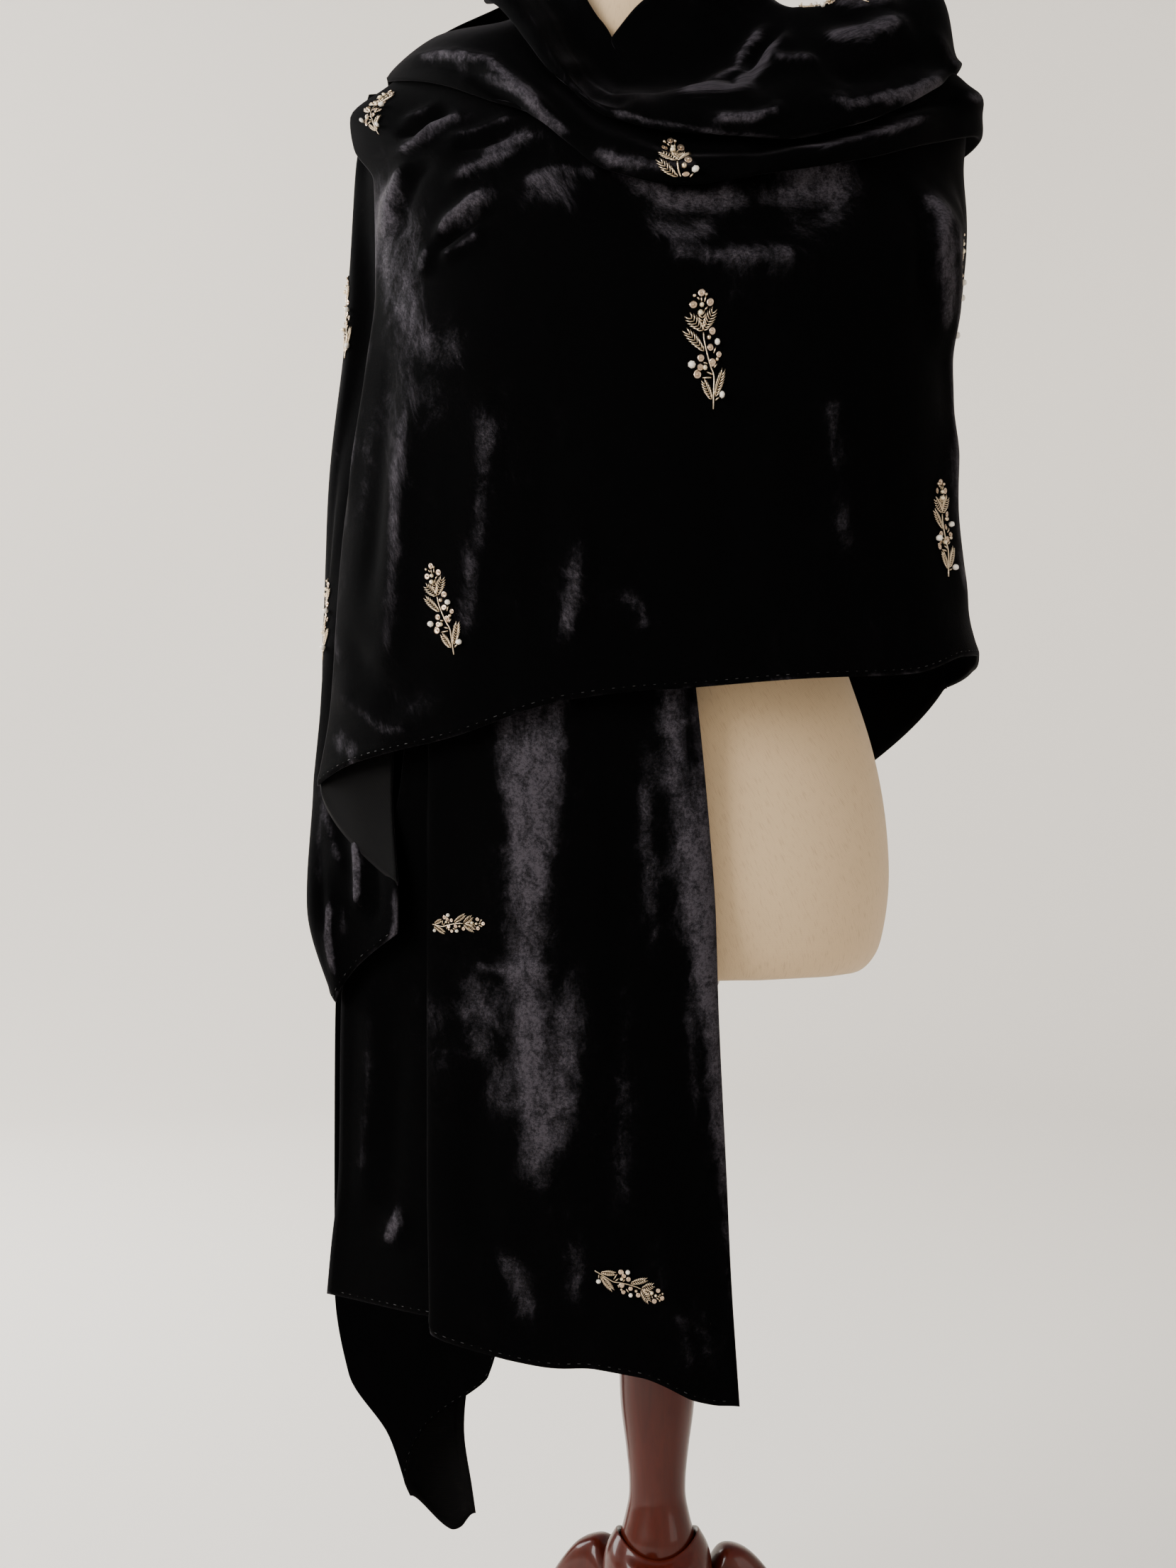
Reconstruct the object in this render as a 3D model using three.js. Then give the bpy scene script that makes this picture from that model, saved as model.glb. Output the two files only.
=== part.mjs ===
// A velvet scarf draped on a limbless dress form with a turned wooden tripod stand.
// Millimetres, +Z up. X runs to the right of someone facing the front, Y runs to the back.
// Every table below is laid out from the pole's axis on the floor; the finished group is then
// moved so that its origin is the bottom centre of its bounding box.
import * as THREE from "three";

// ---- driving dimensions -------------------------------------------------------------------
const CLOTH = 1.6; // thickness of the pile cloth
const SEAM = 0.3; // running gap between two stretches of one cloth
const FORM_BOTTOM = 683; // flat underside of the torso
const NECK_TOP = 1470; // flat top of the neck
const POLE_TENON = 178.4; // lower end of the pole, inside the hub
const HUB_RADIUS = 41;
const LEG_WIDTH = 34;
const LEG_BEVEL = 5;
const LEG_AZIMUTHS = [15, 140, 255]; // degrees about the pole, seen from above
const FOOT_REACH = 256;

// Torso sections: height, half width, depth to the front and to the back.
const TORSO = [
  { z: 683, half: 148, front: 97, back: 98 },
  { z: 690, half: 158, front: 105, back: 106 },
  { z: 706, half: 167, front: 112, back: 113 },
  { z: 753, half: 173.5, front: 117, back: 119 },
  { z: 800, half: 170.5, front: 115, back: 120 },
  { z: 853, half: 160, front: 109, back: 112 },
  { z: 906, half: 142, front: 100, back: 99 },
  { z: 950, half: 128, front: 93, back: 89 },
  { z: 985, half: 120, front: 89, back: 85 },
  { z: 1030, half: 121, front: 92, back: 86 },
  { z: 1090, half: 132, front: 101, back: 92 },
  { z: 1150, half: 145, front: 111, back: 99 },
  { z: 1195, half: 151, front: 112, back: 104 },
  { z: 1240, half: 156, front: 103, back: 107 },
  { z: 1285, half: 163, front: 91, back: 105 },
  { z: 1320, half: 169, front: 80, back: 96 },
  { z: 1343, half: 160, front: 71, back: 84 },
  { z: 1362, half: 128, front: 65, back: 73 },
  { z: 1378, half: 94, front: 60, back: 65 },
  { z: 1396, half: 68, front: 56, back: 60 },
  { z: 1425, half: 57, front: 53, back: 55 },
  { z: 1470, half: 54, front: 52, back: 52 },
];
const TORSO_ROUNDNESS = 2.25; // superellipse power of a torso section

// Cowl sections round the neck: azimuth in degrees (0 right, 90 front, 180 left), then radius
// and height of the lower edge, of the main fold, of the inner fold and of the lip, then how far
// the upper fold stands up between its edge and the inner fold.
const COWL = [
  { at: -46, edgeR: 160, edgeZ: 1300, mainR: 145, mainZ: 1344, inR: 112, inZ: 1384, lipR: 77, lipZ: 1420, crest: 8 },
  { at: -22, edgeR: 232, edgeZ: 1303, mainR: 216, mainZ: 1352, inR: 120, inZ: 1398, lipR: 77, lipZ: 1426, crest: 28 },
  { at: 0, edgeR: 243, edgeZ: 1306, mainR: 228, mainZ: 1362, inR: 112, inZ: 1400, lipR: 72, lipZ: 1428, crest: 34 },
  { at: 20, edgeR: 209, edgeZ: 1284, mainR: 208, mainZ: 1326, inR: 112, inZ: 1392, lipR: 71, lipZ: 1424, crest: 14 },
  { at: 40, edgeR: 184, edgeZ: 1260, mainR: 184, mainZ: 1287, inR: 118, inZ: 1356, lipR: 72, lipZ: 1414, crest: 0 },
  { at: 62, edgeR: 168, edgeZ: 1243, mainR: 167, mainZ: 1266, inR: 126, inZ: 1314, lipR: 74, lipZ: 1402, crest: 0 },
  { at: 86, edgeR: 160, edgeZ: 1231, mainR: 151, mainZ: 1270, inR: 127, inZ: 1299, lipR: 78, lipZ: 1378, crest: 0 },
  { at: 106, edgeR: 158, edgeZ: 1246, mainR: 143, mainZ: 1285, inR: 124, inZ: 1304, lipR: 82, lipZ: 1352, crest: 0 },
  { at: 122, edgeR: 158, edgeZ: 1284, mainR: 137, mainZ: 1318, inR: 119, inZ: 1332, lipR: 80, lipZ: 1372, crest: 0 },
  { at: 138, edgeR: 165, edgeZ: 1304, mainR: 130, mainZ: 1354, inR: 108, inZ: 1372, lipR: 77, lipZ: 1400, crest: 0 },
  { at: 155, edgeR: 179, edgeZ: 1330, mainR: 124, mainZ: 1384, inR: 100, inZ: 1396, lipR: 75, lipZ: 1418, crest: 0 },
  { at: 180, edgeR: 203, edgeZ: 1358, mainR: 122, mainZ: 1404, inR: 98, inZ: 1412, lipR: 74, lipZ: 1426, crest: 0 },
];
const COWL_START = -46; // azimuths of the cowl's ends
const COWL_END = 179.8;
const COWL_TUCK = 16; // how far a fold's underside runs back behind its edge
const COWL_LAYER = 7; // depth between a fold and the cloth under it
const BAND_SWELL = 0.12; // share of the band's reach that it stands proud
const FOLD_SWELL = 0.1; // share of the upper fold's reach that it stands proud
const CREST_LEAN = 0.7; // shift of the fold's crest towards its edge for each millimetre it stands up

// Right side of everything that hangs from the shoulders.
const SIDE = [
  { z: 1418, right: 64 },
  { z: 1400, right: 79 },
  { z: 1385, right: 102 },
  { z: 1370, right: 140 },
  { z: 1350, right: 184 },
  { z: 1312, right: 222 },
  { z: 1264, right: 229 },
  { z: 1182, right: 224 },
  { z: 1129, right: 216 },
  { z: 1058, right: 217 },
  { z: 954, right: 228 },
  { z: 910, right: 239 },
  { z: 881, right: 242 },
  { z: 823, right: 246 },
];

// Front stretch of the wrap, hanging from under the cowl: left fold line, its depth, and the
// depth of the front.
const WRAP = [
  { z: 1345, left: -216, leftY: -2, front: -92 },
  { z: 1305, left: -225, leftY: -6, front: -124 },
  { z: 1290, left: -223, leftY: -16, front: -133 },
  { z: 1264, left: -208, leftY: -40, front: -142 },
  { z: 1182, left: -206, leftY: -50, front: -151 },
  { z: 1129, left: -212, leftY: -52, front: -153 },
  { z: 1058, left: -222, leftY: -52, front: -154 },
  { z: 999, left: -230, leftY: -50, front: -153 },
  { z: 954, left: -234, leftY: -48, front: -152 },
  { z: 881, left: -239, leftY: -46, front: -150 },
  { z: 823, left: -249, leftY: -44, front: -148 },
];
const HANG_ROUNDNESS = 2.7;
const HANG_CENTRE_Y = 12; // centre of the hanging sections
const WRAP_OVERLAP = 8; // how far it runs up behind the cowl's edge
const WRAP_START = -22; // azimuths of the seam at the right side and of the left fold line
const WRAP_END = 160;
// Share of the drop in which it leaves the cowl's edge, at the right and at the left fold line.
const WRAP_RELEASE = { right: 0.16, left: 0.07 };
// Lower hem of the front stretch, from the right side round to the left fold line.
const WRAP_HEM = [
  { at: -24, z: 898 },
  { at: 0, z: 909 },
  { at: 12, z: 917 },
  { at: 30, z: 914 },
  { at: 50, z: 900 },
  { at: 75, z: 895 },
  { at: 100, z: 881 },
  { at: 120, z: 855 },
  { at: 145, z: 837 },
  { at: 160, z: 822 },
];

// Side cascade, left of the front stretch: the inner fold that the return runs back to, the
// outer bulge seen as the left outline, and the fold at the back that the next leaf turns on.
const CASCADE = [
  { z: 1352, innerX: -181, innerY: 5, outX: -188, outY: 26, backX: -186, backY: 52 },
  { z: 1300, innerX: -206, innerY: -2, outX: -226, outY: 18, backX: -212, backY: 58 },
  { z: 1264, innerX: -199, innerY: -24, outX: -229, outY: 18, backX: -216, backY: 66 },
  { z: 1182, innerX: -192, innerY: -20, outX: -232, outY: 20, backX: -220, backY: 68 },
  { z: 1050, innerX: -190, innerY: -36, outX: -246, outY: 16, backX: -232, backY: 68 },
  { z: 954, innerX: -190, innerY: -60, outX: -250, outY: 6, backX: -238, backY: 66 },
  { z: 880, innerX: -191, innerY: -74, outX: -253, outY: 0, backX: -242, backY: 64 },
  { z: 823, innerX: -192, innerY: -80, outX: -255, outY: -12, backX: -244, backY: 62 },
  { z: 735, innerX: -186, innerY: -99, outX: -253, outY: -58, backX: -246, backY: 54 },
  { z: 660, innerX: -190, innerY: -100, outX: -232, outY: -62, backX: -232, backY: 40 },
];
const RETURN_TOP = 1306;
const RETURN_HEM = { outer: 823, inner: 752 };
const CASCADE_TOP = 1350;
const CASCADE_HEM = { inner: 718, tip: 666, back: 690 };

// Leaves that hang behind the left shoulder: the right-hand fold between the two inner leaves,
// the left-hand fold between the middle and the outer leaf, and the free end of the outer leaf.
const BACK = [
  { z: 1330, foldX: -120, foldY: 92, turnX: -208, turnY: 74, endX: -52, endY: 112 },
  { z: 1290, foldX: -118, foldY: 110, turnX: -217, turnY: 84, endX: -44, endY: 138 },
  { z: 1200, foldX: -116, foldY: 128, turnX: -226, turnY: 92, endX: -40, endY: 160 },
  { z: 1000, foldX: -112, foldY: 134, turnX: -238, turnY: 97, endX: -46, endY: 168 },
  { z: 800, foldX: -108, foldY: 136, turnX: -248, turnY: 99, endX: -72, endY: 168 },
  { z: 600, foldX: -112, foldY: 128, turnX: -254, turnY: 105, endX: -108, endY: 162 },
  { z: 420, foldX: -121, foldY: 112, turnX: -255, turnY: 113, endX: -134, endY: 152 },
  { z: 350, foldX: -132, foldY: 108, turnX: -244, turnY: 115, endX: -148, endY: 146 },
  { z: 300, foldX: -160, foldY: 107, turnX: -212, turnY: 117, endX: -153, endY: 142 },
  { z: 250, foldX: -186, foldY: 108, turnX: -195, turnY: 119, endX: -146, endY: 138 },
  { z: 210, foldX: -190, foldY: 109, turnX: -176, turnY: 121, endX: -140, endY: 136 },
];
const BACK_INNER_HEM = { start: 640, fold: 372, turn: 256 };
const BACK_OUTER_HEM = { turn: 250, tip: 217, end: 231 };
const THROW_DROP = 1290; // height at which the outer leaf hangs free of the shoulder
const THROW_SHARE = 0.12; // share of the outer leaf that rolls over the shoulder

// Back drape, the stretch that crosses the back: its left end and its depth.
const DRAPE = [
  { z: 1418, left: -66, back: 66 },
  { z: 1400, left: -78, back: 70 },
  { z: 1385, left: -100, back: 74 },
  { z: 1370, left: -136, back: 80 },
  { z: 1350, left: -172, back: 88 },
  { z: 1312, left: -187, back: 101.2 },
  { z: 1264, left: -189, back: 112 },
  { z: 1182, left: -186, back: 119 },
  { z: 1058, left: -183, back: 124 },
  { z: 954, left: -183, back: 126 },
  { z: 823, left: -183, back: 129 },
  { z: 690, left: -183, back: 131 },
];
const DRAPE_START = -22.6;
const DRAPE_END = -170;
const DRAPE_HEM = [
  { at: -24, z: 898 },
  { at: -45, z: 858 },
  { at: -75, z: 800 },
  { at: -110, z: 742 },
  { at: -150, z: 712 },
  { at: -172, z: 706 },
];

// Front tail: right edge, left fold of the main panel, left edge of the recessed layer.
const TAIL = [
  { z: 1316, right: -62, fold: -124, inner: -82, left: -132, depth: 95 },
  { z: 1290, right: -50, fold: -138, inner: -76, left: -148, depth: 105 },
  { z: 1230, right: -34, fold: -152, inner: -68, left: -168, depth: 126 },
  { z: 1150, right: -16, fold: -160, inner: -60, left: -178, depth: 134 },
  { z: 1050, right: 4, fold: -162, inner: -52, left: -180, depth: 136 },
  { z: 894, right: 22, fold: -163, inner: -44, left: -180, depth: 136 },
  { z: 836, right: 28, fold: -163, inner: -42, left: -184, depth: 136 },
  { z: 790, right: 32, fold: -164, inner: -41, left: -192, depth: 136 },
  { z: 735, right: 36, fold: -164, inner: -40, left: -214, depth: 136 },
  { z: 670, right: 38, fold: -164, inner: -40, left: -231, depth: 136 },
  { z: 546, right: 44, fold: -164, inner: -40, left: -233, depth: 135 },
  { z: 482, right: 47, fold: -163, inner: -40, left: -240, depth: 134 },
  { z: 393, right: 53, fold: -162, inner: -40, left: -249, depth: 133 },
];
const TAIL_TOP = 1316;
const TAIL_CURVE_HALF = 256; // half width of the ellipse that the layers lie on
const TAIL_LAYER = 8; // depth between one folded layer of the tail and the next
const RUN_OUTER = -140; // the stretch over the left shoulder: its sides, the height of its ends
const RUN_INNER = -84;
const RUN_END = 1317.4;
const RUN_REST = 2.9; // and how far its middle lies from the form
const TAIL_HEM = { right: 393, corner: 408, middle: 423, fold: 442, inner: 436, left: 450 };

// Turned pole, from the plate under the torso down to the tenon: height and radius.
const POLE = [
  { z: 682.7, r: 0 },
  { z: 682.7, r: 46 },
  { z: 674, r: 46 },
  { z: 670, r: 40 },
  { z: 664, r: 20 },
  { z: 650, r: 18 },
  { z: 641, r: 24 },
  { z: 632, r: 18.5 },
  { z: 570, r: 20.5 },
  { z: 500, r: 25.4 },
  { z: 440, r: 28.2 },
  { z: 395, r: 28.6 },
  { z: 360, r: 27.6 },
  { z: 328, r: 23.6 },
  { z: 305, r: 21.3 },
  { z: 290, r: 21.4 },
  { z: 275, r: 24.4 },
  { z: 259, r: 28.1 },
  { z: 246, r: 27.2 },
  { z: 233, r: 23 },
  { z: 222, r: 20 },
  { z: POLE_TENON, r: 20 },
  { z: POLE_TENON, r: 0 },
];
const HUB = [
  { z: 150, r: 0 },
  { z: 150, r: 26 },
  { z: 162, r: 37 },
  { z: 176, r: HUB_RADIUS },
  { z: 236, r: HUB_RADIUS },
  { z: 252, r: 38.5 },
  { z: 262, r: 33.5 },
  { z: 266, r: 30.5 },
  { z: 264, r: 29.2 },
  { z: 258, r: 28.9 },
  { z: 246, r: 28 },
  { z: 233, r: 23.8 },
  { z: 221, r: 20.5 },
  { z: POLE_TENON - SEAM, r: 20.5 },
  { z: POLE_TENON - SEAM, r: 0 },
];
const NECK_CAP = [
  { z: NECK_TOP + SEAM, r: 0 },
  { z: NECK_TOP + SEAM, r: 53 },
  { z: 1476, r: 55 },
  { z: 1482, r: 53 },
  { z: 1487, r: 40 },
  { z: 1491, r: 16 },
  { z: 1498, r: 12 },
  { z: 1506, r: 17 },
  { z: 1517, r: 18 },
  { z: 1527, r: 12 },
  { z: 1531, r: 0 },
];
// Outline of a leg in its own upright plane: distance from the pole's axis and height.
const LEG_TOP = [
  [HUB_RADIUS + SEAM, 236], [52, 249], [68, 246], [88, 226], [122, 170], [160, 104], [198, 56], [234, 34],
  [252, 20], [FOOT_REACH, 8],
];
const LEG_UNDER = [
  [216, 0], [204, 9], [180, 34], [150, 72], [116, 126], [88, 166], [64, 184], [HUB_RADIUS + SEAM, 188],
];

// ---- finishes -----------------------------------------------------------------------------
const finish = (color, roughness) => new THREE.MeshStandardMaterial({ color, roughness, metalness: 0 });
const VELVET = finish(0x121116, 0.85);
const LINEN = finish(0xcbbfa6, 0.9);
const MAHOGANY = finish(0x4a150c, 0.3);

// ---- geometry helpers ---------------------------------------------------------------------
const mix = (a, b, t) => a + (b - a) * t;
const clamp01 = (t) => Math.min(1, Math.max(0, t));
const smooth = (t) => clamp01(t) ** 2 * (3 - 2 * clamp01(t));
const radians = THREE.MathUtils.degToRad;

// Reads a table smoothly: returns a function from a value of column `by` to all columns there.
function smoothTable(table, by) {
  const rows = [...table].sort((a, b) => a[by] - b[by]);
  const slopes = {};
  for (const key of Object.keys(rows[0])) {
    const steps = rows.slice(1).map((row, i) => (row[key] - rows[i][key]) / (row[by] - rows[i][by]));
    slopes[key] = rows.map((_, i) => {
      if (i === 0) return steps[0];
      if (i === rows.length - 1) return steps[i - 1];
      const [before, after] = [steps[i - 1], steps[i]];
      return before * after <= 0 ? 0 : (2 * before * after) / (before + after);
    });
  }
  return (at) => {
    const last = rows.length - 2;
    let i = rows.findIndex((row, k) => k > 0 && at <= row[by]) - 1;
    if (i < 0) i = at <= rows[0][by] ? 0 : last;
    const span = rows[i + 1][by] - rows[i][by];
    const t = clamp01((at - rows[i][by]) / span);
    const read = {};
    for (const key of Object.keys(rows[0])) {
      const [a, b] = [rows[i][key], rows[i + 1][key]];
      const [slopeA, slopeB] = [slopes[key][i] * span, slopes[key][i + 1] * span];
      const rise = b - a;
      read[key] = a + t * (slopeA + t * (3 * rise - 2 * slopeA - slopeB + t * (slopeA + slopeB - 2 * rise)));
    }
    return read;
  };
}

// A smooth curve through a few points, read by a share of its length.
function curve(points) {
  const line = new THREE.CatmullRomCurve3(points, false, "centripetal");
  return (t) => line.getPoint(clamp01(t));
}

// Point of a superellipse section at an azimuth in degrees, 90 being the front.
function onSection(at, centreX, centreY, halfX, halfY, power) {
  const [c, s] = [Math.cos(radians(at)), Math.sin(radians(at))];
  const round = (value) => Math.sign(value) * Math.abs(value) ** (2 / power);
  return [centreX + halfX * round(c), centreY - halfY * round(s)];
}

// A cloth wall of even thickness about a surface, as one closed mesh.
function wall(name, surface, across, down) {
  const points = [];
  for (let j = 0; j <= down; j++) {
    for (let i = 0; i <= across; i++) points.push(surface(i / across, j / down));
  }
  const at = (i, j) => points[j * (across + 1) + i];
  const offsets = points.map((_, k) => {
    const [i, j] = [k % (across + 1), Math.floor(k / (across + 1))];
    const along = at(Math.min(i + 1, across), j).clone().sub(at(Math.max(i - 1, 0), j));
    const fall = at(i, Math.min(j + 1, down)).clone().sub(at(i, Math.max(j - 1, 0)));
    return along.cross(fall).normalize().multiplyScalar(CLOTH / 2);
  });
  const position = [];
  for (const side of [1, -1]) {
    points.forEach((point, k) => position.push(...point.clone().addScaledVector(offsets[k], side).toArray()));
  }
  const count = points.length;
  const id = (i, j, side) => j * (across + 1) + i + side * count;
  const index = [];
  const quad = (a, b, c, d) => index.push(a, b, c, a, c, d);
  for (let j = 0; j < down; j++) {
    for (let i = 0; i < across; i++) {
      quad(id(i, j, 0), id(i + 1, j, 0), id(i + 1, j + 1, 0), id(i, j + 1, 0));
      quad(id(i, j + 1, 1), id(i + 1, j + 1, 1), id(i + 1, j, 1), id(i, j, 1));
    }
  }
  for (let i = 0; i < across; i++) {
    quad(id(i, 0, 1), id(i + 1, 0, 1), id(i + 1, 0, 0), id(i, 0, 0));
    quad(id(i, down, 0), id(i + 1, down, 0), id(i + 1, down, 1), id(i, down, 1));
  }
  for (let j = 0; j < down; j++) {
    quad(id(0, j, 0), id(0, j + 1, 0), id(0, j + 1, 1), id(0, j, 1));
    quad(id(across, j, 1), id(across, j + 1, 1), id(across, j + 1, 0), id(across, j, 0));
  }
  return closedMesh(name, position, index, VELVET);
}

function closedMesh(name, position, index, material) {
  const geometry = new THREE.BufferGeometry();
  geometry.setAttribute("position", new THREE.Float32BufferAttribute(position, 3));
  geometry.setIndex(index);
  geometry.computeVertexNormals();
  const mesh = new THREE.Mesh(geometry, material);
  mesh.name = name;
  return mesh;
}

// A turned piece: its profile runs from the axis out and back to the axis.
function turned(name, profile, sides, material) {
  const points = profile.map(({ r, z }) => new THREE.Vector2(r, z));
  if (THREE.ShapeUtils.area(points) > 0) points.reverse();
  const geometry = new THREE.LatheGeometry(points.reverse(), sides).rotateX(Math.PI / 2);
  const mesh = new THREE.Mesh(geometry, material);
  mesh.name = name;
  return mesh;
}

// ---- the cloth ----------------------------------------------------------------------------
const cowlAt = smoothTable(COWL, "at");
const sideAt = smoothTable(SIDE, "z");
const wrapAt = smoothTable(WRAP, "z");
const wrapHemAt = smoothTable(WRAP_HEM, "at");
const cascadeAt = smoothTable(CASCADE, "z");
const backAt = smoothTable(BACK, "z");
const drapeAt = smoothTable(DRAPE, "z");
const drapeHemAt = smoothTable(DRAPE_HEM, "at");
const tailAt = smoothTable(TAIL, "z");
const torsoAt = smoothTable(TORSO, "z");

// A point at an azimuth from a pair: radius from the neck's axis and height.
const polar = (at, [radius, z]) => {
  const [c, s] = [Math.cos(radians(at)), Math.sin(radians(at))];
  return new THREE.Vector3(radius * c, -radius * s, z);
};

// From a pair (radius, height): `along` towards another pair, and `deep` below the line to it.
function inset([r, z], [towardR, towardZ], along, deep) {
  const length = Math.hypot(towardR - r, towardZ - z);
  const [tangentR, tangentZ] = [(towardR - r) / length, (towardZ - z) / length];
  return [r + tangentR * along - tangentZ * deep, z + tangentZ * along + tangentR * deep];
}

// Where the band passes behind the main fold.
const behindMain = (main, inner) => inset(main, inner, 1, COWL_LAYER * 1.55);

// Lower band of the cowl: turned under at its lower edge, and running up behind the main fold.
function cowlBand(u, v) {
  const at = mix(COWL_START, COWL_END, u);
  const c = cowlAt(at);
  const [edge, main, inner] = [[c.edgeR, c.edgeZ], [c.mainR, c.mainZ], [c.inR, c.inZ]];
  const behind = behindMain(main, inner);
  const reach = Math.hypot(behind[0] - edge[0], behind[1] - edge[1]);
  return curve([
    polar(at, inset(main, inner, Math.min(14, reach * 0.5), COWL_LAYER * 1.6)),
    polar(at, behind),
    polar(at, inset(edge, behind, reach * 0.5, -reach * BAND_SWELL)),
    polar(at, inset(edge, behind, 5, -2)),
    polar(at, inset(edge, behind, 0, 2)),
    polar(at, inset(edge, behind, Math.min(COWL_TUCK, reach * 0.6), COWL_LAYER)),
  ])(v);
}

// Upper folds of the cowl: from the lip at the neck over the inner fold to the main fold.
function cowlFold(u, v) {
  const at = mix(COWL_START, COWL_END, u);
  const c = cowlAt(at);
  const [main, inner, lip] = [[c.mainR, c.mainZ], [c.inR, c.inZ], [c.lipR, c.lipZ]];
  const reach = Math.hypot(main[0] - inner[0], main[1] - inner[1]);
  const rise = Math.hypot(lip[0] - inner[0], lip[1] - inner[1]);
  return curve([
    polar(at, lip),
    polar(at, inset(inner, lip, rise * 0.45, rise * 0.16)),
    polar(at, inset(inner, lip, 8, 5)),
    polar(at, inset(inner, lip, 0, 0)),
    polar(at, inset(main, inner, reach * 0.5 - c.crest * CREST_LEAN, -reach * FOLD_SWELL - c.crest)),
    polar(at, inset(main, inner, 6, -2)),
    polar(at, inset(main, inner, 0.5, 2)),
    polar(at, inset(main, inner, 10, COWL_LAYER)),
  ])(v);
}

// A hanging section about the figure: the drape's behind its side line, the wrap's before it.
function hangingAt(at, z) {
  const [right, w, d] = [sideAt(z).right, wrapAt(z), drapeAt(z)];
  const halfX = (right - (at < 0 ? d.left : w.left)) / 2;
  const halfY = at < 0 ? d.back - HANG_CENTRE_Y : HANG_CENTRE_Y - w.front;
  return onSection(at, right - halfX, HANG_CENTRE_Y, halfX, halfY, HANG_ROUNDNESS);
}

// Front stretch of the wrap: hangs from behind the cowl's lower edge.
function frontWrap(u, v) {
  const at = mix(WRAP_START, WRAP_END, u);
  const atCowl = mix(WRAP_START, COWL_END, u);
  const c = cowlAt(atCowl);
  const [edge, behind] = [[c.edgeR, c.edgeZ], behindMain([c.mainR, c.mainZ], [c.inR, c.inZ])];
  const [topR, topZ] = inset(edge, behind, WRAP_OVERLAP, COWL_LAYER * 1.5);
  const z = mix(topZ, wrapHemAt(at).z, v);
  const [x, y] = hangingAt(at, z);
  const [endX, endY] = hangingAt(WRAP_END, z);
  const w = wrapAt(z);
  const turn = smooth((at - 90) / (WRAP_END - 90));
  const hanging = new THREE.Vector3(x + (w.left - endX) * turn, y + (w.leftY - endY) * turn, z);
  const release = mix(WRAP_RELEASE.right, WRAP_RELEASE.left, smooth((at - 110) / 40));
  const held = smooth((at - WRAP_START) / 20) * smooth(1 - v / release);
  return hanging.lerp(polar(atCowl, [topR, z]), held);
}

// The return runs back from the front stretch's fold line; the cascade comes out again and
// rounds the arm side to the back.
function sideReturn(u, v) {
  const z = mix(RETURN_TOP, mix(RETURN_HEM.outer, RETURN_HEM.inner, u ** 0.6), v);
  const [w, c] = [wrapAt(z), cascadeAt(z)];
  return curve([
    new THREE.Vector3(w.left + 1.2, w.leftY + 1.5, z),
    new THREE.Vector3(mix(w.left, c.innerX, 0.5) + 2, mix(w.leftY, c.innerY, 0.5) - 4, z),
    new THREE.Vector3(c.innerX + 0.6, c.innerY - 1.9, z),
  ])(u);
}

function sideCascade(u, v) {
  const hem = u < 0.5 ? mix(CASCADE_HEM.inner, CASCADE_HEM.tip, u * 2)
    : mix(CASCADE_HEM.tip, CASCADE_HEM.back, u * 2 - 1);
  const z = mix(CASCADE_TOP, hem, v);
  const c = cascadeAt(z);
  return curve([
    new THREE.Vector3(c.innerX, c.innerY + 1.2, z),
    new THREE.Vector3(mix(c.innerX, c.outX, 0.55), mix(c.innerY, c.outY, 0.6), z),
    new THREE.Vector3(c.outX, c.outY, z),
    new THREE.Vector3(mix(c.outX, c.backX, 0.4), mix(c.outY, c.backY, 0.7), z),
    new THREE.Vector3(c.backX, c.backY, z),
  ])(u);
}

// Two inner leaves behind the arm side, folded on each other, seen below the cascade.
function backFold(u, v) {
  const inward = u < 0.5;
  const hem = inward ? mix(BACK_INNER_HEM.start, BACK_INNER_HEM.fold, u * 2)
    : mix(BACK_INNER_HEM.fold, BACK_INNER_HEM.turn, u * 2 - 1);
  const z = mix(1240, hem, v);
  const [c, b] = [cascadeAt(z), backAt(z)];
  return curve([
    new THREE.Vector3(c.backX, c.backY + 1.7, z),
    new THREE.Vector3(mix(c.backX, b.foldX, 0.5), mix(c.backY + 4, b.foldY - 10, 0.5), z),
    new THREE.Vector3(b.foldX, b.foldY - 8, z),
    new THREE.Vector3(b.foldX, b.foldY, z),
    new THREE.Vector3(mix(b.foldX, b.turnX, 0.5), mix(b.foldY, b.turnY, 0.5) + 2, z),
    new THREE.Vector3(b.turnX, b.turnY, z),
  ])(u);
}

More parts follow.
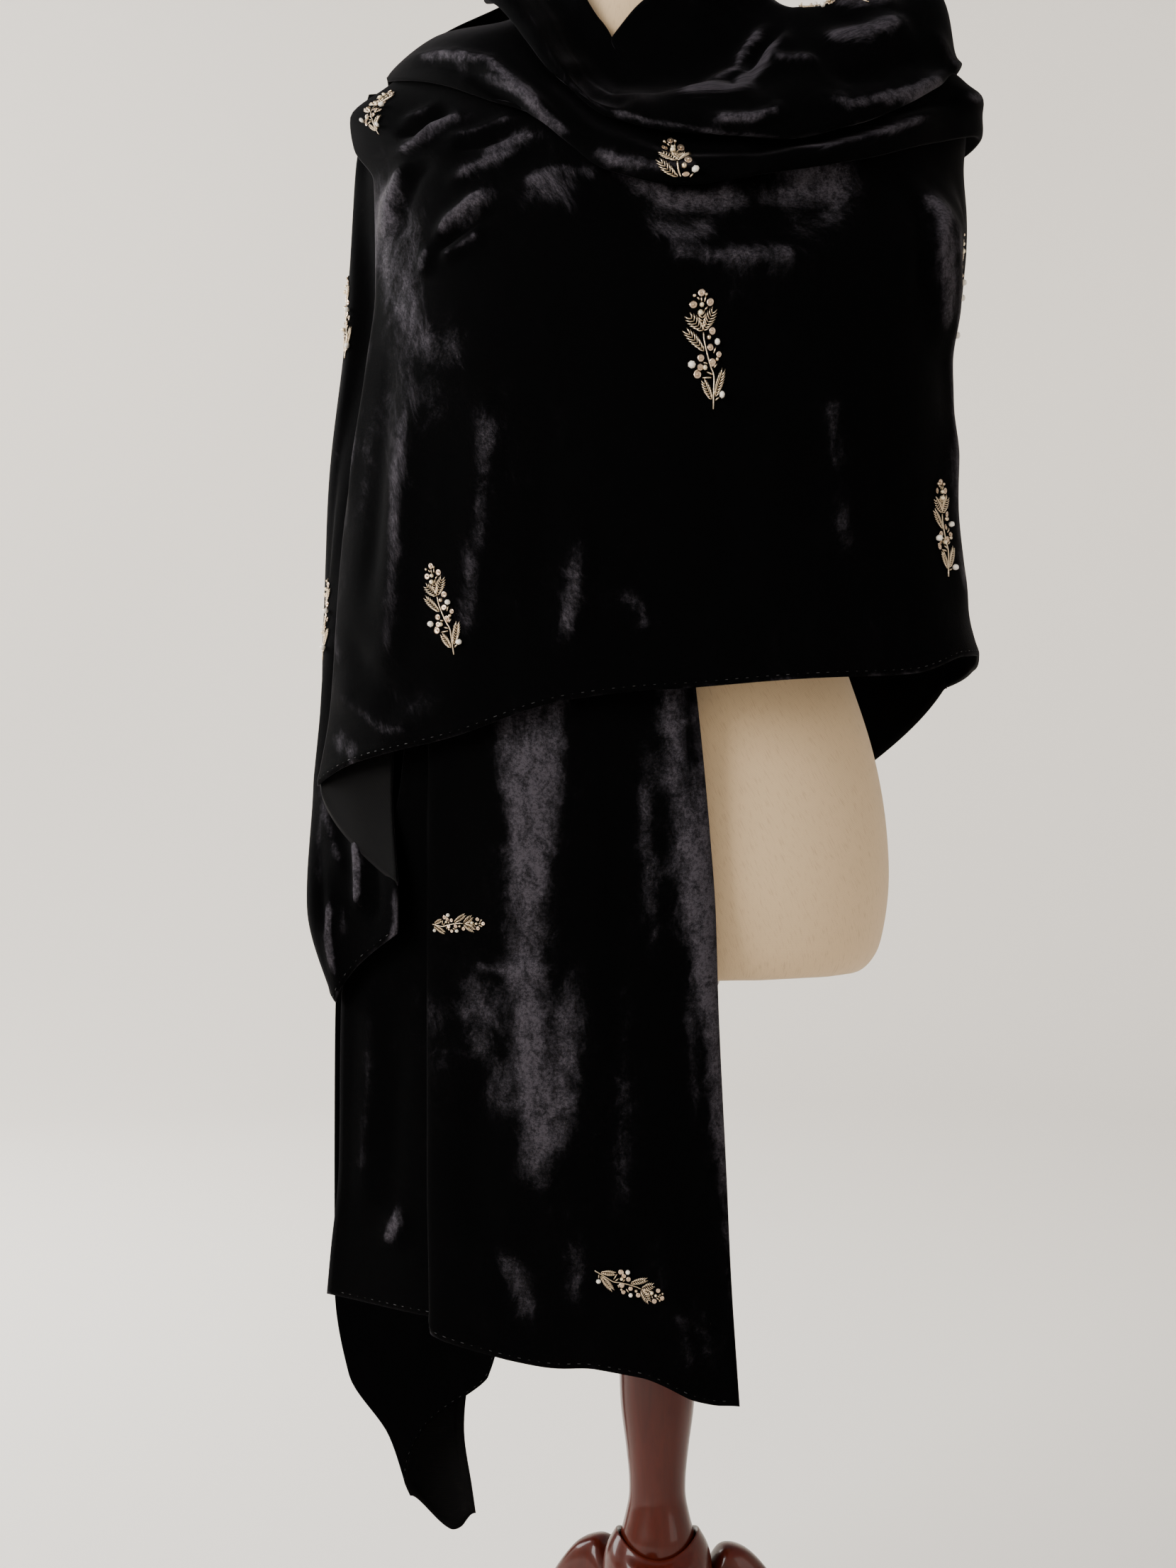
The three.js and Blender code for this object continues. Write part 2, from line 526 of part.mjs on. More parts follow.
// Outer leaf: over the left shoulder and down the back to the corner of the scarf's end.
function backTail(u, v) {
  const hem = u < 0.5 ? mix(BACK_OUTER_HEM.turn, BACK_OUTER_HEM.tip, smooth(u * 2))
    : mix(BACK_OUTER_HEM.tip, BACK_OUTER_HEM.end, smooth(u * 2 - 1));
  const roll = clamp01(v / THROW_SHARE) * Math.PI / 2;
  const z = mix(THROW_DROP, hem, clamp01((v - THROW_SHARE) / (1 - THROW_SHARE)));
  const b = backAt(z);
  const hanging = curve([
    new THREE.Vector3(b.turnX, b.turnY + 2.3, z),
    new THREE.Vector3(mix(b.turnX, b.endX, 0.25), mix(b.turnY, b.endY, 0.72) + 4, z),
    new THREE.Vector3(mix(b.turnX, b.endX, 0.7), b.endY + 3, z),
    new THREE.Vector3(b.endX, b.endY, z),
  ])(u);
  if (v > THROW_SHARE) return hanging;
  const c = cowlAt(COWL_END);
  const crown = curve([
    new THREE.Vector3(-c.edgeR, SEAM * 2, c.edgeZ),
    new THREE.Vector3(-mix(c.edgeR, c.mainR, 0.5), SEAM * 2, mix(c.edgeZ, c.mainZ, 0.5) + 6),
    new THREE.Vector3(-c.mainR, SEAM * 2, c.mainZ),
    new THREE.Vector3(-c.lipR, SEAM * 2, c.lipZ),
  ])(u);
  return new THREE.Vector3(
    mix(crown.x, hanging.x, 1 - Math.cos(roll)),
    mix(crown.y, hanging.y, Math.sin(roll)),
    mix(hanging.z, crown.z, Math.cos(roll)),
  );
}

// The stretch across the back, from the left shoulder to the right side.
function backDrape(u, v) {
  const at = mix(DRAPE_START, DRAPE_END, u);
  const z = mix(mix(1418, 1400, smooth((-at - 120) / 60)), drapeHemAt(at).z, v ** 1.5);
  return new THREE.Vector3(...hangingAt(at, z), z);
}

// The stretch that passes over the left shoulder, between the front tail and the back drape.
function shoulderRun(u, v) {
  const x = mix(RUN_OUTER, RUN_INNER, u);
  const place = (turn) => {
    const z = mix(shoulderCrown(x), RUN_END, turn ** 2);
    const ring = torsoAt(z);
    const power = torsoPower(z);
    const deep = turn < 0 ? -ring.front : ring.back;
    return new THREE.Vector3(x, deep * (1 - (Math.abs(x) / ring.half) ** power) ** (1 / power), z);
  };
  const turn = mix(-1, 1, v);
  const slope = place(turn + 0.02).sub(place(turn - 0.02));
  const out = new THREE.Vector3(0, -slope.z, slope.y).normalize();
  return place(turn).addScaledVector(out, RUN_REST);
}

// The form's sections turn from squarish at the chest to round at the neck.
function torsoPower(z) {
  return mix(TORSO_ROUNDNESS, 2, smooth((z - 1340) / 60));
}

// Height of the form's shoulder ridge at a distance from the neck's axis.
function shoulderCrown(x) {
  let [low, high] = [1320, NECK_TOP];
  for (let i = 0; i < 30; i++) {
    const z = (low + high) / 2;
    if (torsoAt(z).half > Math.abs(x)) low = z;
    else high = z;
  }
  return low;
}

// The end that hangs down the front, folded in three layers.
function frontTail(u, v) {
  const t = TAIL_HEM;
  const hemPoints = [
    [0, t.right], [0.1, t.corner], [0.215, t.middle], [0.42, t.fold], [0.6, t.inner], [1, t.left],
  ];
  const hem = curve(hemPoints.map(([x, y]) => new THREE.Vector3(x, y, 0)))(u).y;
  const z = mix(TAIL_TOP, hem, v);
  const w = tailAt(z);
  const place = (x, layer) => {
    const round = Math.sqrt(1 - (x / TAIL_CURVE_HALF) ** 2);
    return new THREE.Vector3(x, -(w.depth - layer * TAIL_LAYER) * round, z);
  };
  return curve([
    place(w.right, 0.6),
    place(mix(w.right, w.fold, 0.35), -0.2),
    place(mix(w.right, w.fold, 0.75), 0),
    place(w.fold, 0.25),
    place(w.fold, 0.8),
    place(mix(w.fold, w.inner, 0.5), 1),
    place(w.inner, 1.15),
    place(w.inner, 1.85),
    place(mix(w.inner, w.fold, 0.9), 2),
    place(w.left, 2),
  ])(u);
}

// ---- the form and its stand ---------------------------------------------------------------
function torso() {
  const sides = 40;
  const levels = [];
  for (let i = 0; i < TORSO.length - 1; i++) {
    levels.push(TORSO[i].z, mix(TORSO[i].z, TORSO[i + 1].z, 0.5));
  }
  levels.push(NECK_TOP);
  const position = [];
  for (const z of levels) {
    const ring = torsoAt(z);
    for (let k = 0; k < sides; k++) {
      const angle = (k / sides) * 360;
      const deep = Math.sin(radians(angle)) > 0 ? ring.front : ring.back;
      position.push(...onSection(angle, 0, 0, ring.half, deep, torsoPower(z)), z);
    }
  }
  const ends = position.length / 3;
  position.push(0, 0, FORM_BOTTOM, 0, 0, NECK_TOP);
  const index = [];
  for (let j = 0; j < levels.length - 1; j++) {
    for (let k = 0; k < sides; k++) {
      const [a, b] = [j * sides + k, j * sides + ((k + 1) % sides)];
      index.push(a, a + sides, b, b, a + sides, b + sides);
    }
  }
  const last = (levels.length - 1) * sides;
  for (let k = 0; k < sides; k++) {
    index.push(k, (k + 1) % sides, ends);
    index.push(last + ((k + 1) % sides), last + k, ends + 1);
  }
  return closedMesh("form_torso", position, index, LINEN);
}

function leg(number, azimuth) {
  const outline = new THREE.Shape();
  const vectors = (pairs) => pairs.map(([r, z]) => new THREE.Vector2(r, z));
  outline.moveTo(...LEG_TOP[0]);
  outline.splineThru(vectors(LEG_TOP.slice(1)));
  outline.quadraticCurveTo(FOOT_REACH, 0, 248, 0);
  outline.lineTo(...LEG_UNDER[0]);
  outline.splineThru(vectors(LEG_UNDER.slice(1)));
  const depth = LEG_WIDTH - LEG_BEVEL * 2;
  const geometry = new THREE.ExtrudeGeometry(outline, {
    depth,
    curveSegments: 3,
    bevelSize: LEG_BEVEL,
    bevelThickness: LEG_BEVEL,
    bevelOffset: -LEG_BEVEL,
    bevelSegments: 2,
  });
  geometry.translate(0, 0, -depth / 2).rotateX(Math.PI / 2);
  const mesh = new THREE.Mesh(geometry, MAHOGANY);
  mesh.rotation.z = radians(azimuth);
  mesh.name = `stand_leg_${number}`;
  return mesh;
}

const object = new THREE.Group();
object.add(
  wall("scarf_cowl_band", cowlBand, 30, 8),
  wall("scarf_cowl_fold", cowlFold, 30, 10),
  wall("scarf_front_wrap", frontWrap, 24, 14),
  wall("scarf_side_return", sideReturn, 4, 9),
  wall("scarf_side_cascade", sideCascade, 9, 11),
  wall("scarf_back_fold", backFold, 13, 11),
  wall("scarf_back_tail", backTail, 10, 18),
  wall("scarf_back_drape", backDrape, 24, 15),
  wall("scarf_shoulder_run", shoulderRun, 5, 8),
  wall("scarf_front_tail", frontTail, 24, 11),
  torso(),
  turned("form_neck_cap", NECK_CAP, 28, MAHOGANY),
  turned("stand_pole", POLE, 28, MAHOGANY),
  turned("stand_hub", HUB, 30, MAHOGANY),
  ...LEG_AZIMUTHS.map((azimuth, i) => leg(i + 1, azimuth)),
);

// The origin is the bottom centre of the whole object's box.
object.updateMatrixWorld(true);
const box = new THREE.Box3().setFromObject(object, true);
const centre = box.getCenter(new THREE.Vector3());
object.position.set(-centre.x, -centre.y, -box.min.z);

const part = new THREE.Group();
part.add(object);
export default part;
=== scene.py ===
import math

import bmesh
import bpy
import numpy as np
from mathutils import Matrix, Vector


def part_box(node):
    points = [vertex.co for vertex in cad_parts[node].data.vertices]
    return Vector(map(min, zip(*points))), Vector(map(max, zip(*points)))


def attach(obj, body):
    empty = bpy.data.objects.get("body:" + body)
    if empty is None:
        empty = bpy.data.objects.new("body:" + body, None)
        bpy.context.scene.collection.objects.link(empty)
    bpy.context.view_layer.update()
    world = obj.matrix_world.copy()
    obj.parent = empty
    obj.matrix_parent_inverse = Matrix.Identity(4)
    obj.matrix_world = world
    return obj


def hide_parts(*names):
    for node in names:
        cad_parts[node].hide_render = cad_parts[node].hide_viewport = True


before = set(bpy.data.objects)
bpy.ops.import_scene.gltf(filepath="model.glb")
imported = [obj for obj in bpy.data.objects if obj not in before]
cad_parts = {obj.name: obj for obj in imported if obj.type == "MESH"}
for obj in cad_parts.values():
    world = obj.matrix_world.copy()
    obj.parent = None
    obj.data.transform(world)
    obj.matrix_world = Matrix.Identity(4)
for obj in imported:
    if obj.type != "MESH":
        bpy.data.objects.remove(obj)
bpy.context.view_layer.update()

bl_info = {
    "name": "Velvet Scarf on a Dress Form",
    "version": (1, 0, 0),
    "blender": (4, 5, 0),
    "location": "View3D > Sidebar > Velvet Scarf",
    "description": "Builds an embroidered velvet scarf draped on a limbless dress form with a tripod stand",
    "category": "Add Mesh",
}

MM = 0.001  # metres
POLE_LOW, POLE_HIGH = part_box("stand_pole")
AXIS = np.array([(POLE_LOW.x + POLE_HIGH.x) / 2, (POLE_LOW.y + POLE_HIGH.y) / 2, 0.0])
AXIS_Y = float(AXIS[1])
SEED = 7  # of the hem stitches' uneven lengths
LINEN_RADIUS = 0.16  # metres, of the cylinder that the form's weave is unrolled from
HUB_DIP = 14  # what the hub's rim falls at its front and back
RIDGE_SHEEN = 0.15  # painted highlight on a ridge's crest, for each millimetre of its height
HEM_SHEEN_WIDTH = 2.2  # of the painted highlight along a hem
HEM_FADE = 2.5  # over which a turned hem thins to plain cloth
EDGE_ROUND = 2.2  # width of the rounding at a hem's edge
EDGE_LEAST = 0.12  # square of the thickness left at that edge
STITCH_INSIDE, STITCH_LIFT = 3.6, 1.2  # of the hem stitches, from the hem and off the cloth's middle
SPRIG_DRAWN = 82.6  # height of the sprig's drawing
QUAD_ANGLE = 0.7  # radians, between two CAD triangles that are joined to a quad
WORLD_LIGHT = 0.46
# Lights: name, place, aim, size, power in watts and tint. Places are in metres.
LIGHTS = (
    ("key", (-2.7, -2.3, 2.4), (0, 0, 0.9), (1.8, 2.2), 215, (1.0, 0.985, 0.95)),
    ("fill", (2.8, -2.2, 1.6), (0, 0, 0.9), (1.6, 2.2), 19, (1.0, 0.96, 0.90)),
    ("window", (-3.2, 1.6, 2.4), (0, 0, 0.9), (1.8, 2.4), 190, (0.98, 0.99, 1.0)),
    ("wash", (-2.6, 1.4, 3.6), (-2.0, 6.0, 1.7), (2.4, 1.6), 240, (1.0, 0.99, 0.97)),
)


# ---- tables, in millimetres from the pole's axis on the floor ------------------------------
def table(columns, *rows):
    """Rows of numbers under named columns."""
    return {name: np.array([row[i] for row in rows], float) for i, name in enumerate(columns.split())}


# Cowl sections round the neck: azimuth in degrees (0 right, 90 front, 180 left), then radius and
# height of the lower edge, of the main fold, of the inner fold and of the lip, and how far the crown
# of the upper fold stands up.
COWL = table(
    "at edgeR edgeZ mainR mainZ inR inZ lipR lipZ crest",
    (-46, 160, 1300, 145, 1344, 112, 1384, 77, 1420, 8),
    (-22, 232, 1303, 216, 1352, 120, 1398, 77, 1426, 28),
    (0, 243, 1306, 228, 1362, 112, 1400, 72, 1428, 34),
    (20, 209, 1284, 208, 1326, 112, 1392, 71, 1424, 14),
    (40, 184, 1260, 184, 1287, 118, 1356, 72, 1414, 0),
    (62, 168, 1243, 167, 1266, 126, 1314, 74, 1402, 0),
    (86, 160, 1231, 151, 1270, 127, 1299, 78, 1378, 0),
    (106, 158, 1246, 143, 1285, 124, 1304, 82, 1352, 0),
    (122, 158, 1284, 137, 1318, 119, 1332, 80, 1372, 0),
    (138, 165, 1304, 130, 1354, 108, 1372, 77, 1400, 0),
    (155, 179, 1327, 124, 1384, 100, 1396, 75, 1418, 0),
    (180, 203, 1353, 122, 1404, 98, 1412, 74, 1426, 0),
)
COWL_START = -46
COWL_END = 179.8
COWL_TUCK = 16
COWL_LAYER = 7
# How many layers the wrap, the band's top and its tucked end lie behind the main fold.
WRAP_BEHIND, BAND_BEHIND, BAND_TUCKED = 1.5, 1.55, 1.6
# Swell of the band and of the upper fold, as shares of their reach, and how the crown leans outwards.
BAND_SWELL = 0.12
FOLD_SWELL = 0.1
CREST_LEAN = 0.7

# Right side of everything that hangs from the shoulders.
SIDE = table(
    "z right",
    (1418, 64), (1400, 79), (1385, 102), (1370, 140), (1350, 184), (1312, 222), (1264, 229),
    (1182, 224), (1129, 216), (1058, 217), (954, 228), (910, 239), (881, 242), (823, 246),
)
# Front stretch of the wrap: left fold line, its depth, and the depth of the front. Depths here and below
# are y, negative before the axis.
WRAP = table(
    "z left leftY front",
    (1345, -216, -2, -92),
    (1305, -225, -6, -124),
    (1290, -223, -16, -133),
    (1264, -208, -40, -142),
    (1182, -206, -50, -151),
    (1129, -212, -52, -153),
    (1058, -222, -52, -154),
    (999, -230, -50, -153),
    (954, -234, -48, -152),
    (881, -239, -46, -150),
    (823, -249, -44, -148),
)
HANG_ROUNDNESS = 2.7
HANG_CENTRE_Y = 12
WRAP_OVERLAP = 8
WRAP_START = -22
WRAP_END = 160
WRAP_RELEASE_RIGHT = 0.16
WRAP_RELEASE_LEFT = 0.07
WRAP_HEM = table(
    "at z",
    (-24, 898), (0, 909), (12, 917), (30, 914), (50, 900), (75, 895), (100, 881), (120, 855),
    (145, 837), (160, 822),
)
# Side cascade: its inner fold, its outer bulge and the fold at the back.
CASCADE = table(
    "z innerX innerY outX outY backX backY",
    (1352, -181, 5, -188, 26, -186, 52),
    (1300, -206, -2, -226, 18, -212, 58),
    (1264, -199, -24, -229, 18, -216, 66),
    (1182, -192, -20, -232, 20, -220, 68),
    (1050, -190, -36, -246, 16, -232, 68),
    (954, -190, -60, -250, 6, -238, 66),
    (880, -191, -74, -253, 0, -242, 64),
    (823, -192, -80, -255, -12, -244, 62),
    (735, -186, -99, -253, -58, -246, 54),
    (660, -190, -100, -232, -62, -232, 40),
)
RETURN_TOP = 1340
RETURN_HEM_OUTER = 823
RETURN_HEM_INNER = 752
CASCADE_TOP = 1350
CASCADE_HEM_INNER = 718
CASCADE_HEM_TIP = 666
CASCADE_HEM_BACK = 690
# Leaves behind the left shoulder: right-hand fold, left-hand fold and free end.
BACK = table(
    "z foldX foldY turnX turnY endX endY",
    (1330, -120, 92, -208, 74, -52, 112),
    (1290, -118, 110, -217, 84, -44, 138),
    (1200, -116, 128, -226, 92, -40, 160),
    (1000, -112, 134, -238, 97, -46, 168),
    (800, -108, 136, -248, 99, -72, 168),
    (600, -112, 128, -254, 105, -108, 162),
    (420, -121, 112, -255, 113, -134, 152),
    (350, -132, 108, -244, 115, -148, 146),
    (300, -160, 107, -212, 117, -153, 142),
    (250, -186, 108, -195, 119, -146, 138),
    (210, -190, 109, -176, 121, -140, 136),
)
BACK_FOLD_TOP = 1240
BACK_HEM_START = 640
BACK_HEM_FOLD = 372
BACK_HEM_TURN = 256
THROW_HEM_TURN = 250
THROW_HEM_TIP = 217
THROW_HEM_END = 231
# The thrown end rolls over the shoulder to THROW_DROP in this share of its length.
THROW_DROP = 1290
THROW_SHARE = 0.12
CROWN_Y = 0.6
# Stretch across the back: its left end and its depth.
DRAPE = table(
    "z left back",
    (1418, -66, 66), (1400, -78, 70), (1385, -100, 74), (1370, -136, 80), (1350, -172, 88),
    (1312, -187, 101.2), (1264, -189, 112), (1182, -186, 119), (1058, -183, 124),
    (954, -183, 126), (823, -183, 129), (690, -183, 131),
)
DRAPE_TOP_RIGHT, DRAPE_TOP_LEFT = 1418, 1400
DRAPE_START = -22.6
DRAPE_END = -170
DRAPE_HEM = table(
    "at z",
    (-24, 898), (-45, 858), (-75, 800), (-110, 742), (-150, 712), (-172, 706),
)
# Front tail: right edge, left fold of the main panel, its inner edge, left edge of the recessed layer, depth.
TAIL = table(
    "z right fold inner left depth",
    (1316, -62, -124, -82, -132, 95),
    (1290, -50, -138, -76, -148, 105),
    (1230, -34, -152, -68, -168, 126),
    (1150, -16, -160, -60, -178, 134),
    (1050, 4, -162, -52, -180, 136),
    (894, 22, -163, -44, -180, 136),
    (836, 28, -163, -42, -184, 136),
    (790, 32, -164, -41, -192, 136),
    (735, 36, -164, -40, -214, 136),
    (670, 38, -164, -40, -231, 136),
    (546, 44, -164, -40, -233, 135),
    (482, 47, -163, -40, -240, 134),
    (393, 53, -162, -40, -249, 133),
)
TAIL_TOP = 1316
TAIL_CURVE_HALF = 256
TAIL_LAYER = 8
TAIL_HEM = table("share z", (0, 393), (0.1, 408), (0.215, 423), (0.42, 442), (0.6, 436), (1, 450))

# Turned profiles, as (height, radius).
POLE = [
    (682.7, 46), (674, 46), (670, 40), (664, 20), (650, 18), (641, 24), (632, 18.5), (570, 20.5),
    (500, 25.4), (440, 28.2), (395, 28.6), (360, 27.6), (328, 23.6), (305, 21.3), (290, 21.4),
    (275, 24.4), (259, 28.1), (246, 27.2), (233, 23), (222, 20), (200, 20),
]
HUB = [
    (150, 0), (150, 26), (162, 37), (176, 41), (236, 41), (252, 38.5), (262, 33.5), (266, 30.5),
    (264, 29.2), (252, 28.6),
]
NECK_CAP = [
    (1470.3, 53), (1476, 55), (1482, 53), (1487, 40), (1491, 16), (1498, 12), (1506, 17),
    (1517, 18), (1527, 12), (1531, 0),
]
LEG_AZIMUTHS = (15, 140, 255)
LEG_WIDTH = 34
# Top line and underside of a leg, as (distance from the axis, height).
LEG_TOP = [
    (41.3, 236), (52, 249), (68, 246), (88, 226), (122, 170), (160, 104), (198, 56), (234, 34),
    (252, 20), (256, 8), (254, 0),
]
LEG_UNDER = [
    (41.3, 188), (64, 184), (88, 166), (116, 126), (150, 72), (180, 34), (204, 9), (216, 0),
]


# ---- reading the tables --------------------------------------------------------------------
def reader(rows, key):
    """A function from values of column `key` to all columns there, read smoothly."""
    order = np.argsort(rows[key])
    knots = rows[key][order]
    spans = np.diff(knots)

    def slopes(values):
        steps = np.diff(values) / spans
        inner = np.zeros(len(steps) - 1)
        before, after = steps[:-1], steps[1:]
        same = before * after > 0
        inner[same] = 2 * before[same] * after[same] / (before[same] + after[same])
        return np.concatenate([steps[:1], inner, steps[-1:]])

    held = {name: (values[order], slopes(values[order])) for name, values in rows.items()}

    def read(at):
        at = np.clip(np.asarray(at, float), knots[0], knots[-1])
        i = np.clip(np.searchsorted(knots, at) - 1, 0, len(knots) - 2)
        t = (at - knots[i]) / spans[i]
        found = {}
        for name, (values, slope) in held.items():
            a, rise = values[i], values[i + 1] - values[i]
            sa, sb = slope[i] * spans[i], slope[i + 1] * spans[i]
            found[name] = a + t * (sa + t * (3 * rise - 2 * sa - sb + t * (sa + sb - 2 * rise)))
        return found

    return read


def mix(a, b, t):
    return a + (b - a) * t


def smooth(t):
    t = np.clip(t, 0, 1)
    return t * t * (3 - 2 * t)


def point(x, y, z):
    """Columns of x, y and z as one array of points."""
    return np.stack(np.broadcast_arrays(x, y, z), axis=-1).astype(float)


def through(points, t):
    """Smooth curves through a few arrays of points, each read at its own share of the length."""
    p = np.stack(np.broadcast_arrays(*points))
    p = np.concatenate([2 * p[:1] - p[1:2], p, 2 * p[-1:] - p[-2:-1]])
    last = len(points) - 1
    place = np.clip(t, 0, 1) * last
    i = np.minimum(place.astype(int), last - 1)
    w = (place - i)[..., None]
    row = np.arange(len(i))
    a, b, c, d = (p[i + k, row] for k in range(4))
    ab, bc, cd = (
        np.sqrt(np.linalg.norm(q - r, axis=-1, keepdims=True)) for q, r in ((a, b), (b, c), (c, d))
    )
    bc = np.where(bc < 1e-4, 1, bc)
    ab = np.where(ab < 1e-4, bc, ab)
    cd = np.where(cd < 1e-4, bc, cd)
    start = bc * ((b - a) / ab - (c - a) / (ab + bc) + (c - b) / bc)
    end = bc * ((c - b) / bc - (d - b) / (bc + cd) + (d - c) / cd)
    return b + w * (start + w * (-3 * b + 3 * c - 2 * start - end + w * (2 * b - 2 * c + start + end)))


def on_section(at, centre_x, centre_y, half_x, half_y, power):
    """Points of superellipse sections at azimuths in degrees, 90 being the front."""
    c, s = np.cos(np.radians(at)), np.sin(np.radians(at))
    x = centre_x + half_x * np.sign(c) * np.abs(c) ** (2 / power)
    y = centre_y - half_y * np.sign(s) * np.abs(s) ** (2 / power)
    return x, y


# ---- the cloth's surfaces, each over shares u across and v down ---------------------------------
cowl_at = reader(COWL, "at")
side_at = reader(SIDE, "z")
wrap_at = reader(WRAP, "z")
wrap_hem_at = reader(WRAP_HEM, "at")
cascade_at = reader(CASCADE, "z")
back_at = reader(BACK, "z")
drape_at = reader(DRAPE, "z")
drape_hem_at = reader(DRAPE_HEM, "at")
tail_at = reader(TAIL, "z")
tail_hem_at = reader(TAIL_HEM, "share")


def polar(at, pair):
    """Points at azimuths in degrees from a (radius, height) pair."""
    radius, z = pair
    return point(radius * np.cos(np.radians(at)), -radius * np.sin(np.radians(at)), z)


def inset(start, toward, along, deep):
    """From (radius, height) pairs: `along` towards other pairs, and `deep` below the line to them."""
    length = np.hypot(toward[0] - start[0], toward[1] - start[1])
    tr, tz = (toward[0] - start[0]) / length, (toward[1] - start[1]) / length
    return start[0] + tr * along - tz * deep, start[1] + tz * along + tr * deep


def behind_main(main, inner):
    return inset(main, inner, 1, COWL_LAYER * BAND_BEHIND)


def hem_line(u, start, middle, end, ease=np.asarray):
    """Heights of a hem from its start by its middle to its end."""
    return np.where(u < 0.5, mix(start, middle, ease(u * 2)), mix(middle, end, ease(u * 2 - 1)))


def cowl_lines(at):
    """The cowl's lower edge, main fold, inner fold and lip, each a (radius, height) pair."""
    c = cowl_at(at)
    return (c["edgeR"], c["edgeZ"]), (c["mainR"], c["mainZ"]), (c["inR"], c["inZ"]), (c["lipR"], c["lipZ"])


def cowl_band(u, v):
    at = mix(COWL_START, COWL_END, u)
    edge, main, inner, _ = cowl_lines(at)
    behind = behind_main(main, inner)
    reach = np.hypot(behind[0] - edge[0], behind[1] - edge[1])
    return through([
        polar(at, inset(main, inner, np.minimum(14, reach * 0.5), COWL_LAYER * BAND_TUCKED)),
        polar(at, behind),
        polar(at, inset(edge, behind, reach * 0.5, -reach * BAND_SWELL)),
        polar(at, inset(edge, behind, 5, -2)),
        polar(at, inset(edge, behind, 0, 2)),
        polar(at, inset(edge, behind, np.minimum(COWL_TUCK, reach * 0.6), COWL_LAYER)),
    ], v)


def cowl_fold(u, v):
    at = mix(COWL_START, COWL_END, u)
    _, main, inner, lip = cowl_lines(at)
    crest = cowl_at(at)["crest"]
    reach = np.hypot(main[0] - inner[0], main[1] - inner[1])
    rise = np.hypot(lip[0] - inner[0], lip[1] - inner[1])
    return through([
        polar(at, lip),
        polar(at, inset(inner, lip, rise * 0.45, rise * 0.16)),
        polar(at, inset(inner, lip, 8, 5)),
        polar(at, inset(inner, lip, 0, 0)),
        polar(at, inset(main, inner, reach * 0.5 - crest * CREST_LEAN, -reach * FOLD_SWELL - crest)),
        polar(at, inset(main, inner, 6, -2)),
        polar(at, inset(main, inner, 0.5, 2)),
        polar(at, inset(main, inner, 10, COWL_LAYER)),
    ], v)


def hanging_at(at, z):
    """A hanging section: the drape's behind its side line, the wrap's before it."""
    right, wrap, drape = side_at(z)["right"], wrap_at(z), drape_at(z)
    at = np.broadcast_to(at, np.shape(z))
    half_x = (right - np.where(at < 0, drape["left"], wrap["left"])) / 2
    half_y = np.where(at < 0, drape["back"] - HANG_CENTRE_Y, HANG_CENTRE_Y - wrap["front"])
    return on_section(at, right - half_x, HANG_CENTRE_Y, half_x, half_y, HANG_ROUNDNESS)


def front_wrap(u, v):
    at = mix(WRAP_START, WRAP_END, u)
    at_cowl = mix(WRAP_START, COWL_END, u)
    edge, main, inner, _ = cowl_lines(at_cowl)
    top = inset(edge, behind_main(main, inner), WRAP_OVERLAP, COWL_LAYER * WRAP_BEHIND)
    z = mix(top[1], wrap_hem_at(at)["z"], v)
    x, y = hanging_at(at, z)
    end_x, end_y = hanging_at(WRAP_END, z)
    wrap = wrap_at(z)
    turn = smooth((at - 90) / (WRAP_END - 90))
    hanging = point(x + (wrap["left"] - end_x) * turn, y + (wrap["leftY"] - end_y) * turn, z)
    release = mix(WRAP_RELEASE_RIGHT, WRAP_RELEASE_LEFT, smooth((at - 110) / 40))
    held = smooth((at - WRAP_START) / 20) * smooth(1 - v / release)
    return mix(hanging, polar(at_cowl, (top[0], z)), held[..., None])


def side_return(u, v):
    z = mix(RETURN_TOP, mix(RETURN_HEM_OUTER, RETURN_HEM_INNER, u ** 0.6), v)
    w, c = wrap_at(z), cascade_at(z)
    return through([
        point(w["left"] + 1.2, w["leftY"] + 1.5, z),
        point(mix(w["left"], c["innerX"], 0.5) + 2, mix(w["leftY"], c["innerY"], 0.5) - 4, z),
        point(c["innerX"] + 0.6, c["innerY"] - 1.9, z),
    ], u)


def side_cascade(u, v):
    z = mix(CASCADE_TOP, hem_line(u, CASCADE_HEM_INNER, CASCADE_HEM_TIP, CASCADE_HEM_BACK), v)
    c = cascade_at(z)
    return through([
        point(c["innerX"], c["innerY"] - 1.4, z),
        point(mix(c["innerX"], c["outX"], 0.55), mix(c["innerY"], c["outY"], 0.6), z),
        point(c["outX"], c["outY"], z),
        point(mix(c["outX"], c["backX"], 0.4), mix(c["outY"], c["backY"], 0.7), z),
        point(c["backX"], c["backY"], z),
    ], u)


def back_fold(u, v):
    z = mix(BACK_FOLD_TOP, hem_line(u, BACK_HEM_START, BACK_HEM_FOLD, BACK_HEM_TURN), v)
    c, b = cascade_at(z), back_at(z)
    return through([
        point(c["backX"], c["backY"] + 1.7, z),
        point(mix(c["backX"], b["foldX"], 0.5), mix(c["backY"] + 4, b["foldY"] - 10, 0.5), z),
        point(b["foldX"], b["foldY"] - 8, z),
        point(b["foldX"], b["foldY"], z),
        point(mix(b["foldX"], b["turnX"], 0.5), mix(b["foldY"], b["turnY"], 0.5) + 2, z),
        point(b["turnX"], b["turnY"], z),
    ], u)


